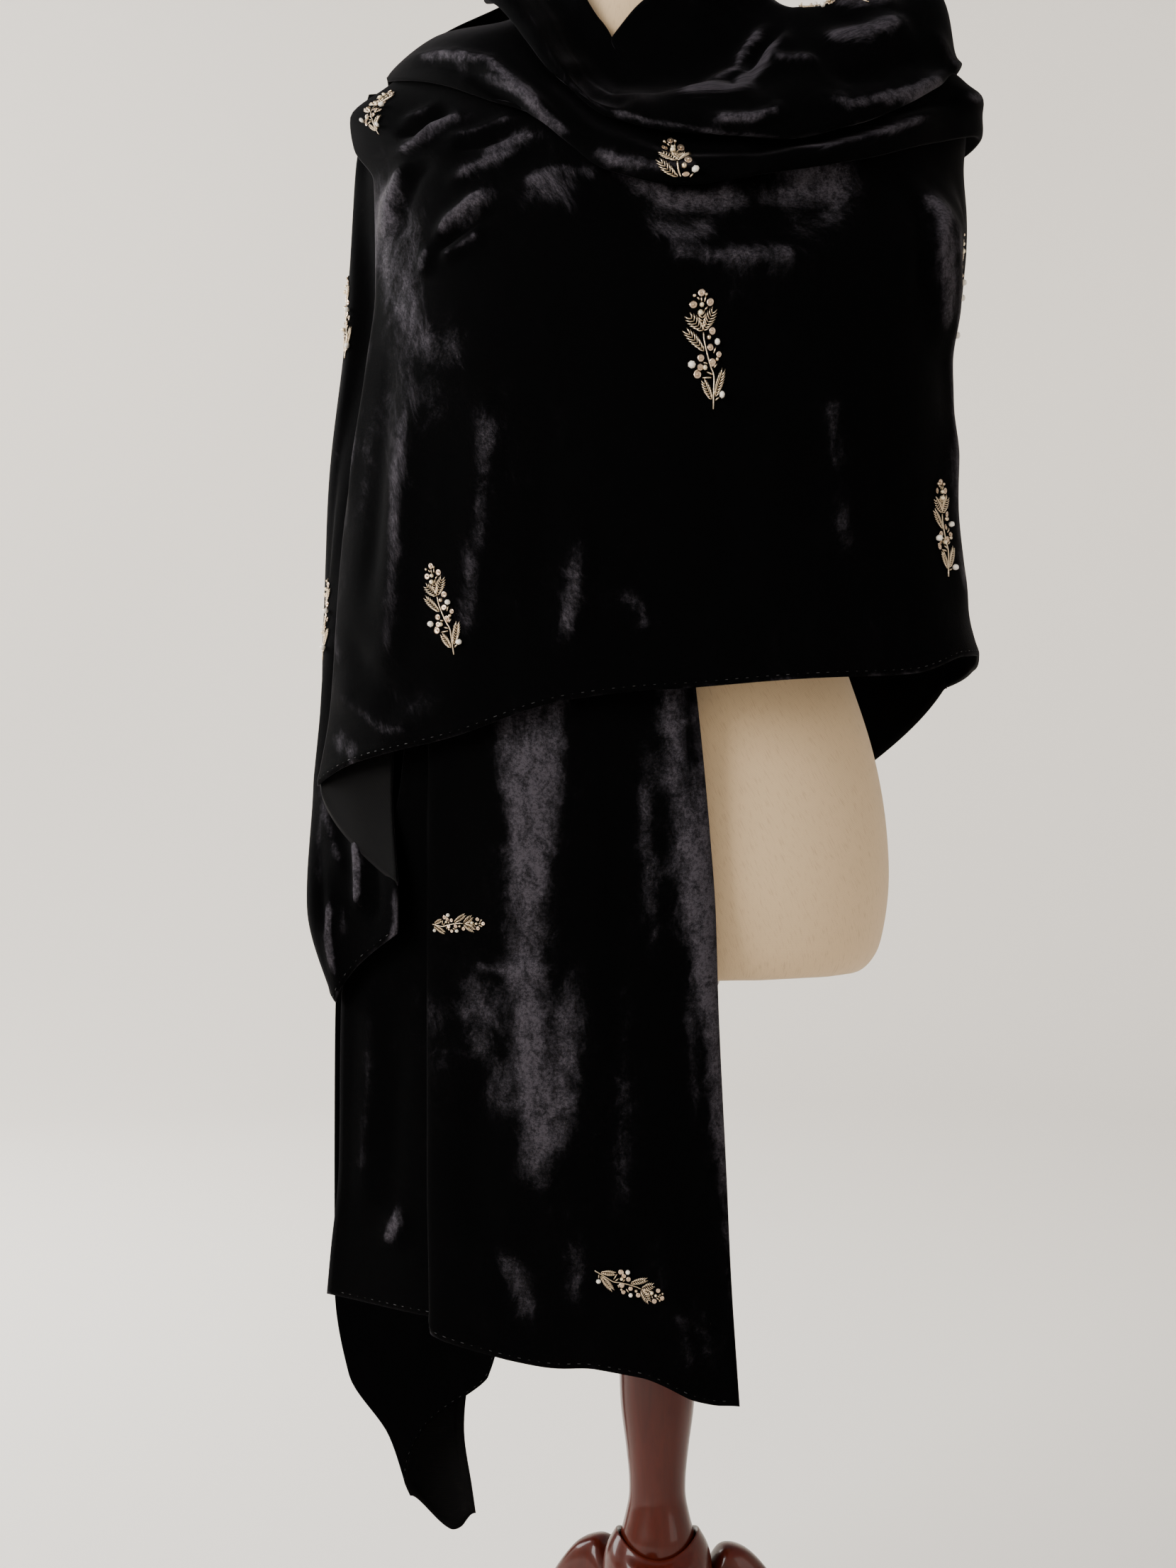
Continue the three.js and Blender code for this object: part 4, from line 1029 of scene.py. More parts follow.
# ---- sprigs ------------------------------------------------------------------------------------
class Beadwork:
    """Small closed shapes joined in one mesh, in millimetres: x right, y up the stem, z off the cloth."""

    GOLD, SEQUIN, PEARL, CRYSTAL = range(4)

    def __init__(self):
        self.points, self.faces, self.finishes = [], [], []
        self.count = 0

    def add(self, points, faces, finish):
        self.points.append(np.asarray(points, float))
        self.faces += [tuple(i + self.count for i in face) for face in faces]
        self.finishes += [finish] * len(faces)
        self.count += len(points)

    def lathe(self, centre, profile, around, finish, lean=(0, 0)):
        """Rings of (radius, height), the first and last closed to a point, leaning by a slope."""
        angle = np.linspace(0, 2 * np.pi, around, endpoint=False)
        points, rings = [(0, 0, profile[0][1])], []
        for radius, height in profile[1:-1]:
            rings.append(len(points))
            points += [(radius * math.cos(a), radius * math.sin(a), height) for a in angle]
        points.append((0, 0, profile[-1][1]))
        last = len(points) - 1
        faces = []
        for i in range(around):
            j = (i + 1) % around
            faces.append((0, rings[0] + j, rings[0] + i))
            for low, high in zip(rings[:-1], rings[1:]):
                faces.append((low + i, low + j, high + j, high + i))
            faces.append((rings[-1] + i, rings[-1] + j, last))
        points = np.array(points)
        points[:, 2] += points[:, 0] * lean[0] + points[:, 1] * lean[1]
        self.add(points + np.array([centre[0], centre[1], 0]), faces, finish)

    def bead(self, centre, radius, finish, lift=0.2):
        rise = radius + lift
        self.lathe(centre, [
            (0, rise - radius), (radius * 0.71, rise - radius * 0.71), (radius, rise),
            (radius * 0.71, rise + radius * 0.71), (0, rise + radius),
        ], 7, finish)

    def sequin(self, centre, radius, lean):
        self.lathe(centre, [
            (0, 0.4), (radius * 0.55, 0.45), (radius * 0.9, 0.8), (radius * 0.88, 1.05),
            (radius * 0.5, 0.75), (0, 0.65),
        ], 12, self.SEQUIN, lean)
        self.bead(centre, 0.7, self.GOLD, 0.5)

    def cord(self, path, radius, sides, taper):
        """A gold tube along a few points, thinner at both ends by the taper."""
        path = np.array(path, float)
        along = np.gradient(path, axis=0)
        along /= np.maximum(np.linalg.norm(along, axis=1, keepdims=True), 1e-9)
        across = np.cross(along, (0, 0, 1))
        across /= np.maximum(np.linalg.norm(across, axis=1, keepdims=True), 1e-9)
        over = np.cross(across, along)
        share = np.linspace(0, 1, len(path))
        width = radius * (taper + (1 - taper) * np.sin(np.pi * share) ** 0.5)
        angle = np.linspace(0, 2 * np.pi, sides, endpoint=False)
        rings = [
            p + w * (np.cos(angle)[:, None] * a + np.sin(angle)[:, None] * o)
            for p, w, a, o in zip(path, width, across, over)
        ]
        faces = [
            (low + i, low + (i + 1) % sides, low + sides + (i + 1) % sides, low + sides + i)
            for low in range(0, (len(path) - 1) * sides, sides) for i in range(sides)
        ]
        top = (len(path) - 1) * sides
        faces += [tuple(range(sides))[::-1], tuple(top + i for i in range(sides))]
        self.add(np.concatenate(rings), [face[::-1] for face in faces], self.GOLD)

    def leaf(self, base, tip, width, ribs):
        """Slanting ribs of coiled gold on both sides of a line from base to tip."""
        base, tip = np.array(base, float), np.array(tip, float)
        length = np.hypot(*(tip - base))
        up = (tip - base) / length
        for side in (1, -1):
            out = np.array([-up[1], up[0]]) * side
            for i in range(ribs):
                s = (i + 0.4) / ribs
                swell = math.sin(math.pi * (0.14 + 0.8 * s)) ** 0.8
                start = base + up * length * 0.82 * s
                end = start + up * length * 0.24 + out * width * swell
                bend = start + (end - start) * 0.5 + (out - up) * width * 0.10
                self.cord([(*start, 0.5), (*bend, 1.15), (*end, 0.75)], 0.5, 5, 0.7)


def sprig_shape(above=0):
    """One embroidered sprig: a budded stem with leaves, sequins, pearls and bugles, from a height up."""
    work = Beadwork()
    stem = np.array([(0, 0), (0.6, 8), (1.1, 14), (1.6, 21), (0.9, 25), (-0.5, 28), (-2.4, 34.5), (-3.8, 40),
                     (-5.2, 47), (-5.6, 52.5)])
    stem = stem[stem[:, 1] >= above]
    spread = through([np.broadcast_to((*p, 0.6), (28, 3)) for p in stem], np.linspace(0, 1, 28))
    work.cord(spread, 0.62, 6, 0.8)
    for base, tip, width, ribs in (
        ((-5.6, 53), (-17, 65), 4.2, 6),
        ((-5.4, 53), (3.2, 69), 4.6, 7),
        ((-5.4, 55), (-7, 68), 3.2, 5),
        ((-5.2, 39), (-18.6, 55), 3.4, 7),
        ((2.1, 7.6), (10.4, 27), 3.4, 8),
        ((-1, 5.9), (-7.6, 20.7), 3.1, 7),
    ):
        if base[1] >= above - 2:
            work.leaf(base, tip, width, ribs)
    for x, y, radius in (
        (-8, 79.4, 2.8), (-13.1, 71.4, 2.8), (-1, 72.8, 3.0), (1.7, 53.1, 2.9), (-0.4, 42.1, 2.8),
        (6.6, 36.9, 2.4), (0.7, 31.7, 3.1), (-8.3, 35.2, 2.8), (-9, 29, 2.6), (-11.4, 24.2, 3.1),
    ):
        if y >= above:
            work.sequin((x, y), radius, (0.16 * math.sin(x * 3), 0.16 * math.cos(y * 2)))
    for x, y, radius in (
        (-1.4, 48.6, 1.9), (5.4, 45.2, 2.5), (-15.2, 30.7, 2.8), (7.9, 9, 2.6), (4.8, 33.5, 1.5),
        (-12.8, 77.3, 1.3), (-4.5, 78, 1.3),
    ):
        if y >= above:
            work.bead((x, y), radius, work.PEARL if radius > 2.4 else work.GOLD)
    for x, y, radius in ((-8, 65.6, 2.2), (-5.5, 28.3, 2.0), (-7.3, 71, 1.8)):
        if y >= above:
            work.bead((x, y), radius, work.CRYSTAL)
    for start, end in (
        ((-11, 76.6), (-9.3, 74.5)), ((-8, 76.6), (-7.6, 73.1)), ((-4.8, 77.3), (-5.5, 73.1)),
        ((-2.8, 69.7), (-4.8, 67.6)), ((4.1, 42.1), (2.1, 38)), ((2.1, 5.9), (5.5, 7.6)),
        ((-4.1, 25.5), (0, 23.5)), ((-7.6, 21.7), (-0.7, 21.4)), ((-13.5, 26), (-10.4, 27.6)),
        ((-6.6, 32), (-3.4, 31)), ((2, 28), (4.6, 30.6)),
    ):
        middle = ((start[0] + end[0]) / 2, (start[1] + end[1]) / 2)
        if start[1] >= above:
            work.cord([(*start, 0.6), (*middle, 1.2), (*end, 0.6)], 0.62, 5, 0.8)
    points = np.concatenate(work.points)
    middle = (points[:, :2].min(0) + points[:, :2].max(0)) / 2
    scale = bpy.context.scene.scarf_trim.sprig_length / MM / SPRIG_DRAWN
    points[:, :2] = (points[:, :2] - middle) * scale
    return points, work.faces, work.finishes


class Patch:
    """A flat piece of work laid on a stretch of cloth, about the point seen at (a, b) in one view."""

    def __init__(self, stretch, view, a, b, turn):
        first, second, facing = VIEW_AXES[view]
        self.stretch = stretch
        self.rows, self.columns = stretch.down + 1, stretch.across + 1
        out = stretch.normals * stretch.outward
        gap = np.hypot(stretch.points[:, first] - a, stretch.points[:, second] - b)
        gap[out @ np.array(facing, float) < 0.05] = 1e9
        close = np.flatnonzero(gap < gap.min() + 3)
        nearest = int(close[np.argmax(stretch.points[close] @ np.array(facing, float))])
        self.row, self.column = divmod(nearest, self.columns)
        grid = stretch.points.reshape(self.rows, self.columns, 3)
        reach = 6
        left, right = max(self.column - reach, 0), min(self.column + reach, self.columns - 1)
        top, bottom = max(self.row - reach, 0), min(self.row + reach, self.rows - 1)
        self.along = (grid[self.row, right] - grid[self.row, left]) / (right - left)
        self.fall = (grid[bottom, self.column] - grid[top, self.column]) / (bottom - top)
        normal = out.reshape(self.rows, self.columns, 3)[top:bottom + 1, left:right + 1].mean((0, 1))
        normal /= np.linalg.norm(normal)
        rightward = 1 if view in ("front", "right", "top") else -1
        up = np.zeros(3)
        up[first] = -rightward * math.sin(math.radians(turn))
        up[second] = math.cos(math.radians(turn))
        up -= normal * (up @ normal)
        self.up = up / np.linalg.norm(up)
        self.right = np.cross(self.up, normal)

    def lay(self, points):
        """Flat points with heights, wrapped onto the cloth's velvet side."""
        flat = points[:, :1] * self.right + points[:, 1:2] * self.up
        shares = np.linalg.pinv(np.stack([self.along, self.fall], 1)) @ flat.T
        column = np.clip(self.column + shares[0], 0, self.columns - 1.001)
        row = np.clip(self.row + shares[1], 0, self.rows - 1.001)
        i, j = column.astype(int), row.astype(int)
        s, t = (column - i)[:, None], (row - j)[:, None]

        def read(values):
            g = values.reshape(self.rows, self.columns, 3)
            return mix(mix(g[j, i], g[j, i + 1], s), mix(g[j + 1, i], g[j + 1, i + 1], s), t)

        out = read(self.stretch.normals) * self.stretch.outward
        half = bpy.context.scene.scarf_cloth.thickness / MM / 2
        return read(self.stretch.points) + out * (half + points[:, 2:3])


def stitched_sprigs(name, stretch, places, finishes):
    """All sprigs of one stretch as one mesh; a place is (view, a, b, turn, size, above)."""
    points, all_faces, all_kinds, count = [], [], [], 0
    for view, a, b, turn, size, *above in places:
        shape, faces, kinds = sprig_shape(*above)
        points.append(Patch(stretch, view, a, b, turn).lay(shape * (size, size, size ** 0.5)))
        all_faces += [tuple(i + count for i in face) for face in faces]
        all_kinds += kinds
        count += len(shape)
    return mesh_object(name, np.concatenate(points), all_faces, finishes, all_kinds)


# ---- hem stitches ----------------------------------------------------------------------------------
def stitch_tree(material):
    """Lays short stitches at an even pitch along the edges it is given."""
    tree = bpy.data.node_groups.new("hem stitches", "GeometryNodeTree")
    tree.interface.new_socket("Line", in_out="INPUT", socket_type="NodeSocketGeometry")
    for name, default in (("Pitch", 7 * MM), ("Length", 2.0 * MM), ("Radius", 0.22 * MM)):
        socket = tree.interface.new_socket(name, in_out="INPUT", socket_type="NodeSocketFloat")
        socket.default_value = default
    tree.interface.new_socket("Stitches", in_out="OUTPUT", socket_type="NodeSocketGeometry")
    nodes = tree.nodes
    given, made = nodes.new("NodeGroupInput"), nodes.new("NodeGroupOutput")
    curve = nodes.new("GeometryNodeMeshToCurve")
    spaced = nodes.new("GeometryNodeResampleCurve")
    spaced.mode = "LENGTH"
    stitch = nodes.new("GeometryNodeMeshCylinder")
    stitch.inputs["Vertices"].default_value = 5
    uneven = nodes.new("FunctionNodeRandomValue")
    uneven.inputs[2].default_value, uneven.inputs[3].default_value = 0.35, 1.15
    uneven.inputs["Seed"].default_value = SEED
    tangent = nodes.new("GeometryNodeInputTangent")
    turn = nodes.new("FunctionNodeAlignRotationToVector")
    turn.axis = "Z"
    laid_and_sheen = nodes.new("GeometryNodeInstanceOnPoints")
    real = nodes.new("GeometryNodeRealizeInstances")
    finish = nodes.new("GeometryNodeSetMaterial")
    finish.inputs["Material"].default_value = material
    for source, output, target, entry in (
        (given, "Line", curve, "Mesh"), (curve, "Curve", spaced, "Curve"), (given, "Pitch", spaced, "Length"),
        (given, "Radius", stitch, "Radius"), (given, "Length", stitch, "Depth"),
        (spaced, "Curve", laid_and_sheen, "Points"), (stitch, "Mesh", laid_and_sheen, "Instance"),
        (tangent, "Tangent", turn, "Vector"), (turn, "Rotation", laid_and_sheen, "Rotation"),
        (uneven, 1, laid_and_sheen, "Scale"),
        (laid_and_sheen, "Instances", real, "Geometry"), (real, "Geometry", finish, "Geometry"),
        (finish, "Geometry", made, "Stitches"),
    ):
        tree.links.new(source.outputs[output], target.inputs[entry])
    return tree


def hem_stitches(name, stretch, material):
    """Stitches just inside the bottom hem of a stretch, on the velvet side."""
    points = []
    rows, columns = stretch.down + 1, stretch.across + 1
    grid = stretch.points.reshape(rows, columns, 3)
    out = (stretch.normals * stretch.outward).reshape(rows, columns, 3)
    for i in range(3, columns - 3, 2):
        fall = stretch.fall[:, i]
        left = fall[-1] - STITCH_INSIDE
        j = int(np.clip(np.searchsorted(fall, left) - 1, 0, rows - 2))
        t = (left - fall[j]) / max(fall[j + 1] - fall[j], 1e-6)
        points.append(mix(grid[j, i], grid[j + 1, i], t) + out[j, i] * STITCH_LIFT)
    edges = [(i, i + 1) for i in range(len(points) - 1)]
    line = mesh_object(name, points, [], [], edges=edges)
    layer = line.modifiers.new("stitches", "NODES")
    layer.node_group = stitch_tree(material)
    for socket in layer.node_group.interface.items_tree:
        if socket.name == "Pitch":
            layer[socket.identifier] = bpy.context.scene.scarf_trim.stitch_pitch
    return applied(line)


# ---- creases, and crushed pile with painted highlights: (view, path, height or amount, width), in millimetres ---
COWL_FOLD_CREASES = [
    ("front", [(-160, 1373), (-144, 1379), (-127, 1370), (-105, 1346), (-82, 1317), (-59, 1291)], 7, 8),
    ("front", [(-150, 1356), (-124, 1347), (-98, 1322), (-72, 1293)], -4, 6),
    ("front", [(-166, 1366), (-153, 1366), (-135, 1350), (-113, 1330), (-101, 1313)], 5, 5),
    ("front", [(-113, 1340), (-101, 1321), (-80, 1303), (-73, 1292), (-61, 1280), (-41, 1275)], 5, 5),
    ("front", [(-66, 1330), (-48, 1302), (-18, 1290)], -5, 9),
    ("front", [(-10, 1294), (52, 1304), (71, 1327), (82, 1345), (100, 1369)], 7, 8),
    ("front", [(22, 1303), (53, 1324), (58, 1340), (71, 1361), (84, 1376)], 5, 6),
    ("front", [(30, 1296), (60, 1312), (70, 1340), (90, 1372)], -4, 6),
    ("front", [(74, 1329), (99, 1332), (112, 1329)], 5, 6),
    ("front", [(24, 1274), (59, 1276), (75, 1282), (84, 1296)], 5, 6),
    ("front", [(90, 1300), (129, 1292), (176, 1312), (222, 1344)], 6, 9),
    ("front", [(110, 1316), (150, 1326), (196, 1352)], -5, 9),
    ("front", [(104, 1348), (142, 1356), (184, 1376)], 6, 10),
    ("front", [(120, 1378), (150, 1388), (178, 1394)], 5, 8),
    ("front", [(196, 1372), (210, 1352), (226, 1334)], 4, 8),
    ("top", [(120, -60), (150, -20), (190, 10)], 6, 10),
    ("top", [(100, -40), (128, 4), (170, 40)], -5, 10),
    ("back", [(60, 1396), (120, 1372), (190, 1350)], 6, 10),
    ("back", [(90, 1372), (150, 1356), (210, 1330)], -4, 9),
]
COWL_BAND_CREASES = [
    ("front", [(-200, 1366), (-176, 1352), (-150, 1344), (-122, 1332), (-96, 1303), (-66, 1270)], 5, 6),
    ("front", [(-190, 1352), (-160, 1342), (-134, 1326), (-106, 1296), (-78, 1266)], -4, 5),
    ("front", [(-150, 1330), (-128, 1322), (-104, 1304), (-88, 1290), (-70, 1272), (-44, 1252)], 4, 5),
    ("front", [(-60, 1262), (-34, 1246), (-2, 1240), (40, 1244)], 4, 7),
    ("front", [(-30, 1268), (14, 1256), (66, 1258), (120, 1270), (180, 1296)], -4, 7),
    ("front", [(60, 1252), (110, 1262), (160, 1282), (214, 1312)], 4, 7),
    ("front", [(150, 1292), (196, 1314), (232, 1330)], -4, 7),
    ("right", [(-60, 1316), (0, 1336), (60, 1330)], 5, 8),
    ("back", [(230, 1322), (190, 1330), (160, 1326)], 4, 8),
]
WRAP_CREASES = [
    ("front", [(-197, 1272), (-173, 1279), (-165, 1292), (-152, 1296), (-132, 1294)], 4, 5),
    ("front", [(-188, 1303), (-172, 1307), (-158, 1310)], 3, 5),
    ("front", [(-192, 1290), (-176, 1292), (-164, 1300), (-146, 1304)], -3.5, 5),
    ("front", [(-157, 1281), (-132, 1282), (-108, 1289), (-91, 1288)], 3, 5),
    ("front", [(-150, 1272), (-124, 1272), (-98, 1280)], -3, 5),
    ("front", [(-197, 1211), (-197, 1221), (-195, 1241), (-186, 1259), (-173, 1269)], 4, 6),
    ("front", [(-184, 1206), (-183, 1232), (-174, 1254), (-158, 1264)], -3.5, 6),
    ("front", [(-160, 1201), (-148, 1217), (-132, 1228), (-114, 1235)], 4.5, 5),
    ("front", [(-160, 1194), (-146, 1206), (-128, 1216), (-110, 1224)], -5, 5),
    ("front", [(-157, 1190), (-140, 1196), (-122, 1206)], 4, 5),
    ("front", [(-168, 1179), (-166, 1192), (-162, 1202)], 3, 5),
    ("front", [(-155, 1242), (-122, 1256), (-90, 1265)], 2.4, 5),
    ("front", [(-133, 1262), (-100, 1273), (-79, 1275)], 2.2, 5),
    ("front", [(-112, 1232), (-70, 1246), (-30, 1240)], 2.6, 9),
    ("front", [(-40, 1212), (20, 1200), (90, 1204), (150, 1228)], -3, 14),
    ("front", [(-20, 1190), (40, 1182), (110, 1190)], 2.4, 12),
    ("front", [(168, 1262), (196, 1230), (200, 1180), (196, 1120)], 5, 10),
    ("front", [(186, 1262), (184, 1210), (180, 1150)], -4, 10),
    ("front", [(206, 1100), (208, 1040), (214, 980), (224, 930)], 4, 11),
    ("front", [(-213, 1260), (-212, 1215), (-211, 1159), (-218, 1093), (-226, 1000)], 4, 6),
    ("front", [(-196, 1160), (-196, 1090), (-204, 1000), (-212, 930)], -4, 9),
    ("front", [(-178, 1110), (-184, 1020), (-190, 930), (-200, 870)], 3.5, 12),
    ("front", [(-120, 1120), (-124, 1040), (-134, 940), (-140, 880)], 2.5, 15),
    ("front", [(-84, 1060), (-82, 990), (-88, 920)], -2.2, 12),
    ("front", [(-56, 1010), (-60, 960), (-70, 905)], 2.6, 10),
    ("front", [(40, 1090), (46, 1010), (42, 930)], -2.2, 16),
    ("front", [(112, 1120), (118, 1030), (126, 950)], 2.6, 16),
    ("front", [(150, 1060), (160, 990), (166, 930)], -2.6, 12),
    ("front", [(-228, 940), (-212, 905), (-186, 886), (-150, 880)], -3, 9),
    ("front", [(-236, 905), (-220, 880), (-194, 862), (-160, 858)], 3.2, 9),
    ("front", [(-30, 958), (-16, 940), (-10, 922)], 2.2, 7),
    ("right", [(-90, 1270), (-74, 1200), (-60, 1100), (-66, 1000)], 4, 12),
    ("right", [(-40, 1290), (-30, 1200), (-24, 1090), (-20, 980)], -4, 11),
    ("right", [(-4, 1290), (4, 1200), (10, 1100), (14, 1000)], 4, 11),
]
RETURN_CREASES = [
    ("front", [(-212, 1130), (-220, 1000), (-222, 880)], 2, 6),
    ("front", [(-204, 1060), (-208, 950), (-214, 840)], -2, 6),
]
CASCADE_CREASES = [
    ("left", [(-20, 1270), (-10, 1150), (-14, 1000), (-8, 860)], 4, 8),
    ("left", [(10, 1300), (8, 1180), (14, 1030), (8, 880), (4, 740)], -4, 7),
    ("left", [(30, 1280), (36, 1150), (34, 1000), (30, 830)], 4, 9),
    ("left", [(54, 1240), (52, 1100), (54, 960), (48, 800)], -3, 7),
    ("front", [(-252, 840), (-240, 790), (-224, 750)], 3, 6),
    ("front", [(-250, 790), (-244, 740), (-232, 700)], -3, 5),
    ("front", [(-232, 850), (-222, 800), (-212, 760)], 2.5, 6),
    ("front", [(-217, 790), (-216, 770), (-215, 730)], 4, 4),
    ("front", [(-207, 780), (-204, 750), (-205, 720)], -3.5, 6),
    ("front", [(-238, 750), (-239, 714), (-230, 676)], 3.5, 4),
]
BACK_FOLD_CREASES = [
    ("back", [(-150, 1180), (-168, 1060), (-176, 900), (-186, 720)], 4, 11),
    ("back", [(-190, 1200), (-206, 1080), (-214, 900), (-220, 700)], -4, 10),
    ("front", [(-200, 640), (-196, 540), (-190, 440), (-184, 340)], 3, 9),
    ("front", [(-224, 640), (-226, 520), (-216, 420)], -3, 8),
    ("front", [(-170, 620), (-164, 500), (-160, 400)], 3, 8),
]
BACK_TAIL_CREASES = [
    ("back", [(-80, 1250), (-84, 1130), (-78, 980), (-86, 820)], 6, 13),
    ("back", [(-110, 1270), (-116, 1140), (-112, 990), (-122, 850), (-118, 700)], -5, 12),
    ("back", [(-146, 1290), (-150, 1150), (-146, 1000), (-152, 840), (-146, 640)], 6, 14),
    ("back", [(-180, 1240), (-186, 1110), (-184, 940), (-190, 760), (-180, 560)], -5, 12),
    ("back", [(-214, 1230), (-216, 1100), (-222, 950), (-222, 800)], 5, 12),
    ("back", [(-170, 700), (-176, 560), (-172, 430), (-166, 330)], 4, 10),
    ("back", [(-150, 560), (-152, 450), (-156, 330)], -3.5, 9),
    ("back", [(-210, 560), (-204, 440), (-190, 330)], 3.5, 9),
    ("back", [(-60, 1340), (-96, 1300), (-120, 1256)], 5, 10),
    ("back", [(-110, 1360), (-142, 1320), (-160, 1270)], -4, 10),
]
DRAPE_CREASES = [
    ("back", [(200, 1330), (140, 1290), (60, 1262), (-30, 1256)], 6, 14),
    ("back", [(210, 1290), (150, 1248), (70, 1218), (-20, 1214)], -5, 14),
    ("back", [(190, 1240), (130, 1196), (60, 1168), (-10, 1160)], 5, 16),
    ("back", [(120, 1370), (60, 1338), (0, 1322), (-60, 1330)], -4, 12),
    ("back", [(90, 1390), (40, 1370), (-20, 1358)], 4, 10),
    ("back", [(180, 1160), (176, 1060), (186, 940), (190, 880)], 5, 15),
    ("back", [(140, 1130), (132, 1020), (136, 900)], -4, 15),
    ("back", [(96, 1080), (90, 980), (94, 860)], 4.5, 16),
    ("back", [(50, 1100), (44, 980), (40, 830)], -4, 16),
    ("back", [(6, 1060), (0, 940), (-8, 800)], 4.5, 17),
    ("back", [(-40, 1090), (-46, 960), (-52, 790)], -4, 15),
    ("back", [(-84, 1060), (-90, 930), (-96, 760)], 4, 14),
    ("right", [(40, 1290), (46, 1190), (50, 1080), (52, 960)], 5, 12),
    ("right", [(74, 1280), (80, 1180), (84, 1070), (82, 950)], -4, 12),
]
TAIL_CREASES = [
    ("front", [(-90, 880), (-94, 800), (-88, 716)], 3, 22),
    ("front", [(-140, 860), (-146, 760), (-140, 660)], -2.5, 18),
    ("front", [(-36, 870), (-30, 760), (-26, 640), (-24, 540)], -3, 15),
    ("front", [(18, 860), (24, 770), (28, 690), (34, 600), (40, 500)], 3, 16),
    ("front", [(-94, 706), (-92, 640), (-88, 580), (-86, 520)], 3, 18),
    ("front", [(-150, 712), (-110, 706), (-60, 712), (-20, 706)], -2.6, 8),
    ("front", [(-146, 700), (-104, 694), (-58, 699)], 2.4, 8),
    ("front", [(-128, 640), (-132, 560), (-126, 480)], -2.4, 14),
    ("front", [(-118, 470), (-90, 463), (-60, 458), (-27, 457)], -2.2, 7),
    ("front", [(-190, 520), (-189, 506), (-194, 492)], 3.5, 8),
    ("front", [(-186, 690), (-190, 600), (-196, 500)], -2.4, 8),
    ("front", [(-206, 700), (-210, 600), (-216, 500)], 2.4, 8),
    ("front", [(6, 470), (14, 440), (22, 410)], 2.4, 10),
]

# The main fold's line; a thin highlight is painted along it.
MAIN_FOLD = [
    (-99, 1390), (-86, 1349), (-66, 1311), (-41, 1288), (-11, 1276), (44, 1265), (85, 1264), (117, 1272),
    (139, 1285), (173, 1311), (226, 1334),
]
COWL_FOLD_NAP_AND_SHEEN = [
    ("front", MAIN_FOLD, 0.5, 2.4),
    ("front", [(-10, 1294), (52, 1304), (71, 1327), (82, 1345)], 0.42, 9),
    ("front", [(-41, 1275), (-26, 1270)], 0.5, 12),
    ("front", [(24, 1274), (59, 1276), (75, 1282)], 0.3, 6),
    ("front", [(-160, 1373), (-127, 1370), (-82, 1317), (-59, 1291)], 0.36, 3.6),
    ("front", [(-150, 1388), (-112, 1384), (-74, 1352)], 0.2, 7),
    ("front", [(104, 1348), (150, 1362), (184, 1380)], 0.26, 12),
    ("top", [(120, -60), (160, -20), (200, 10)], 0.3, 18),
]
COWL_BAND_NAP_AND_SHEEN = [
    ("front", [(-200, 1366), (-150, 1344), (-96, 1303), (-66, 1270)], 0.22, 7),
    ("front", [(-60, 1262), (-34, 1248), (-2, 1242)], 0.3, 10),
    ("front", [(60, 1256), (160, 1284), (214, 1312)], 0.2, 8),
]
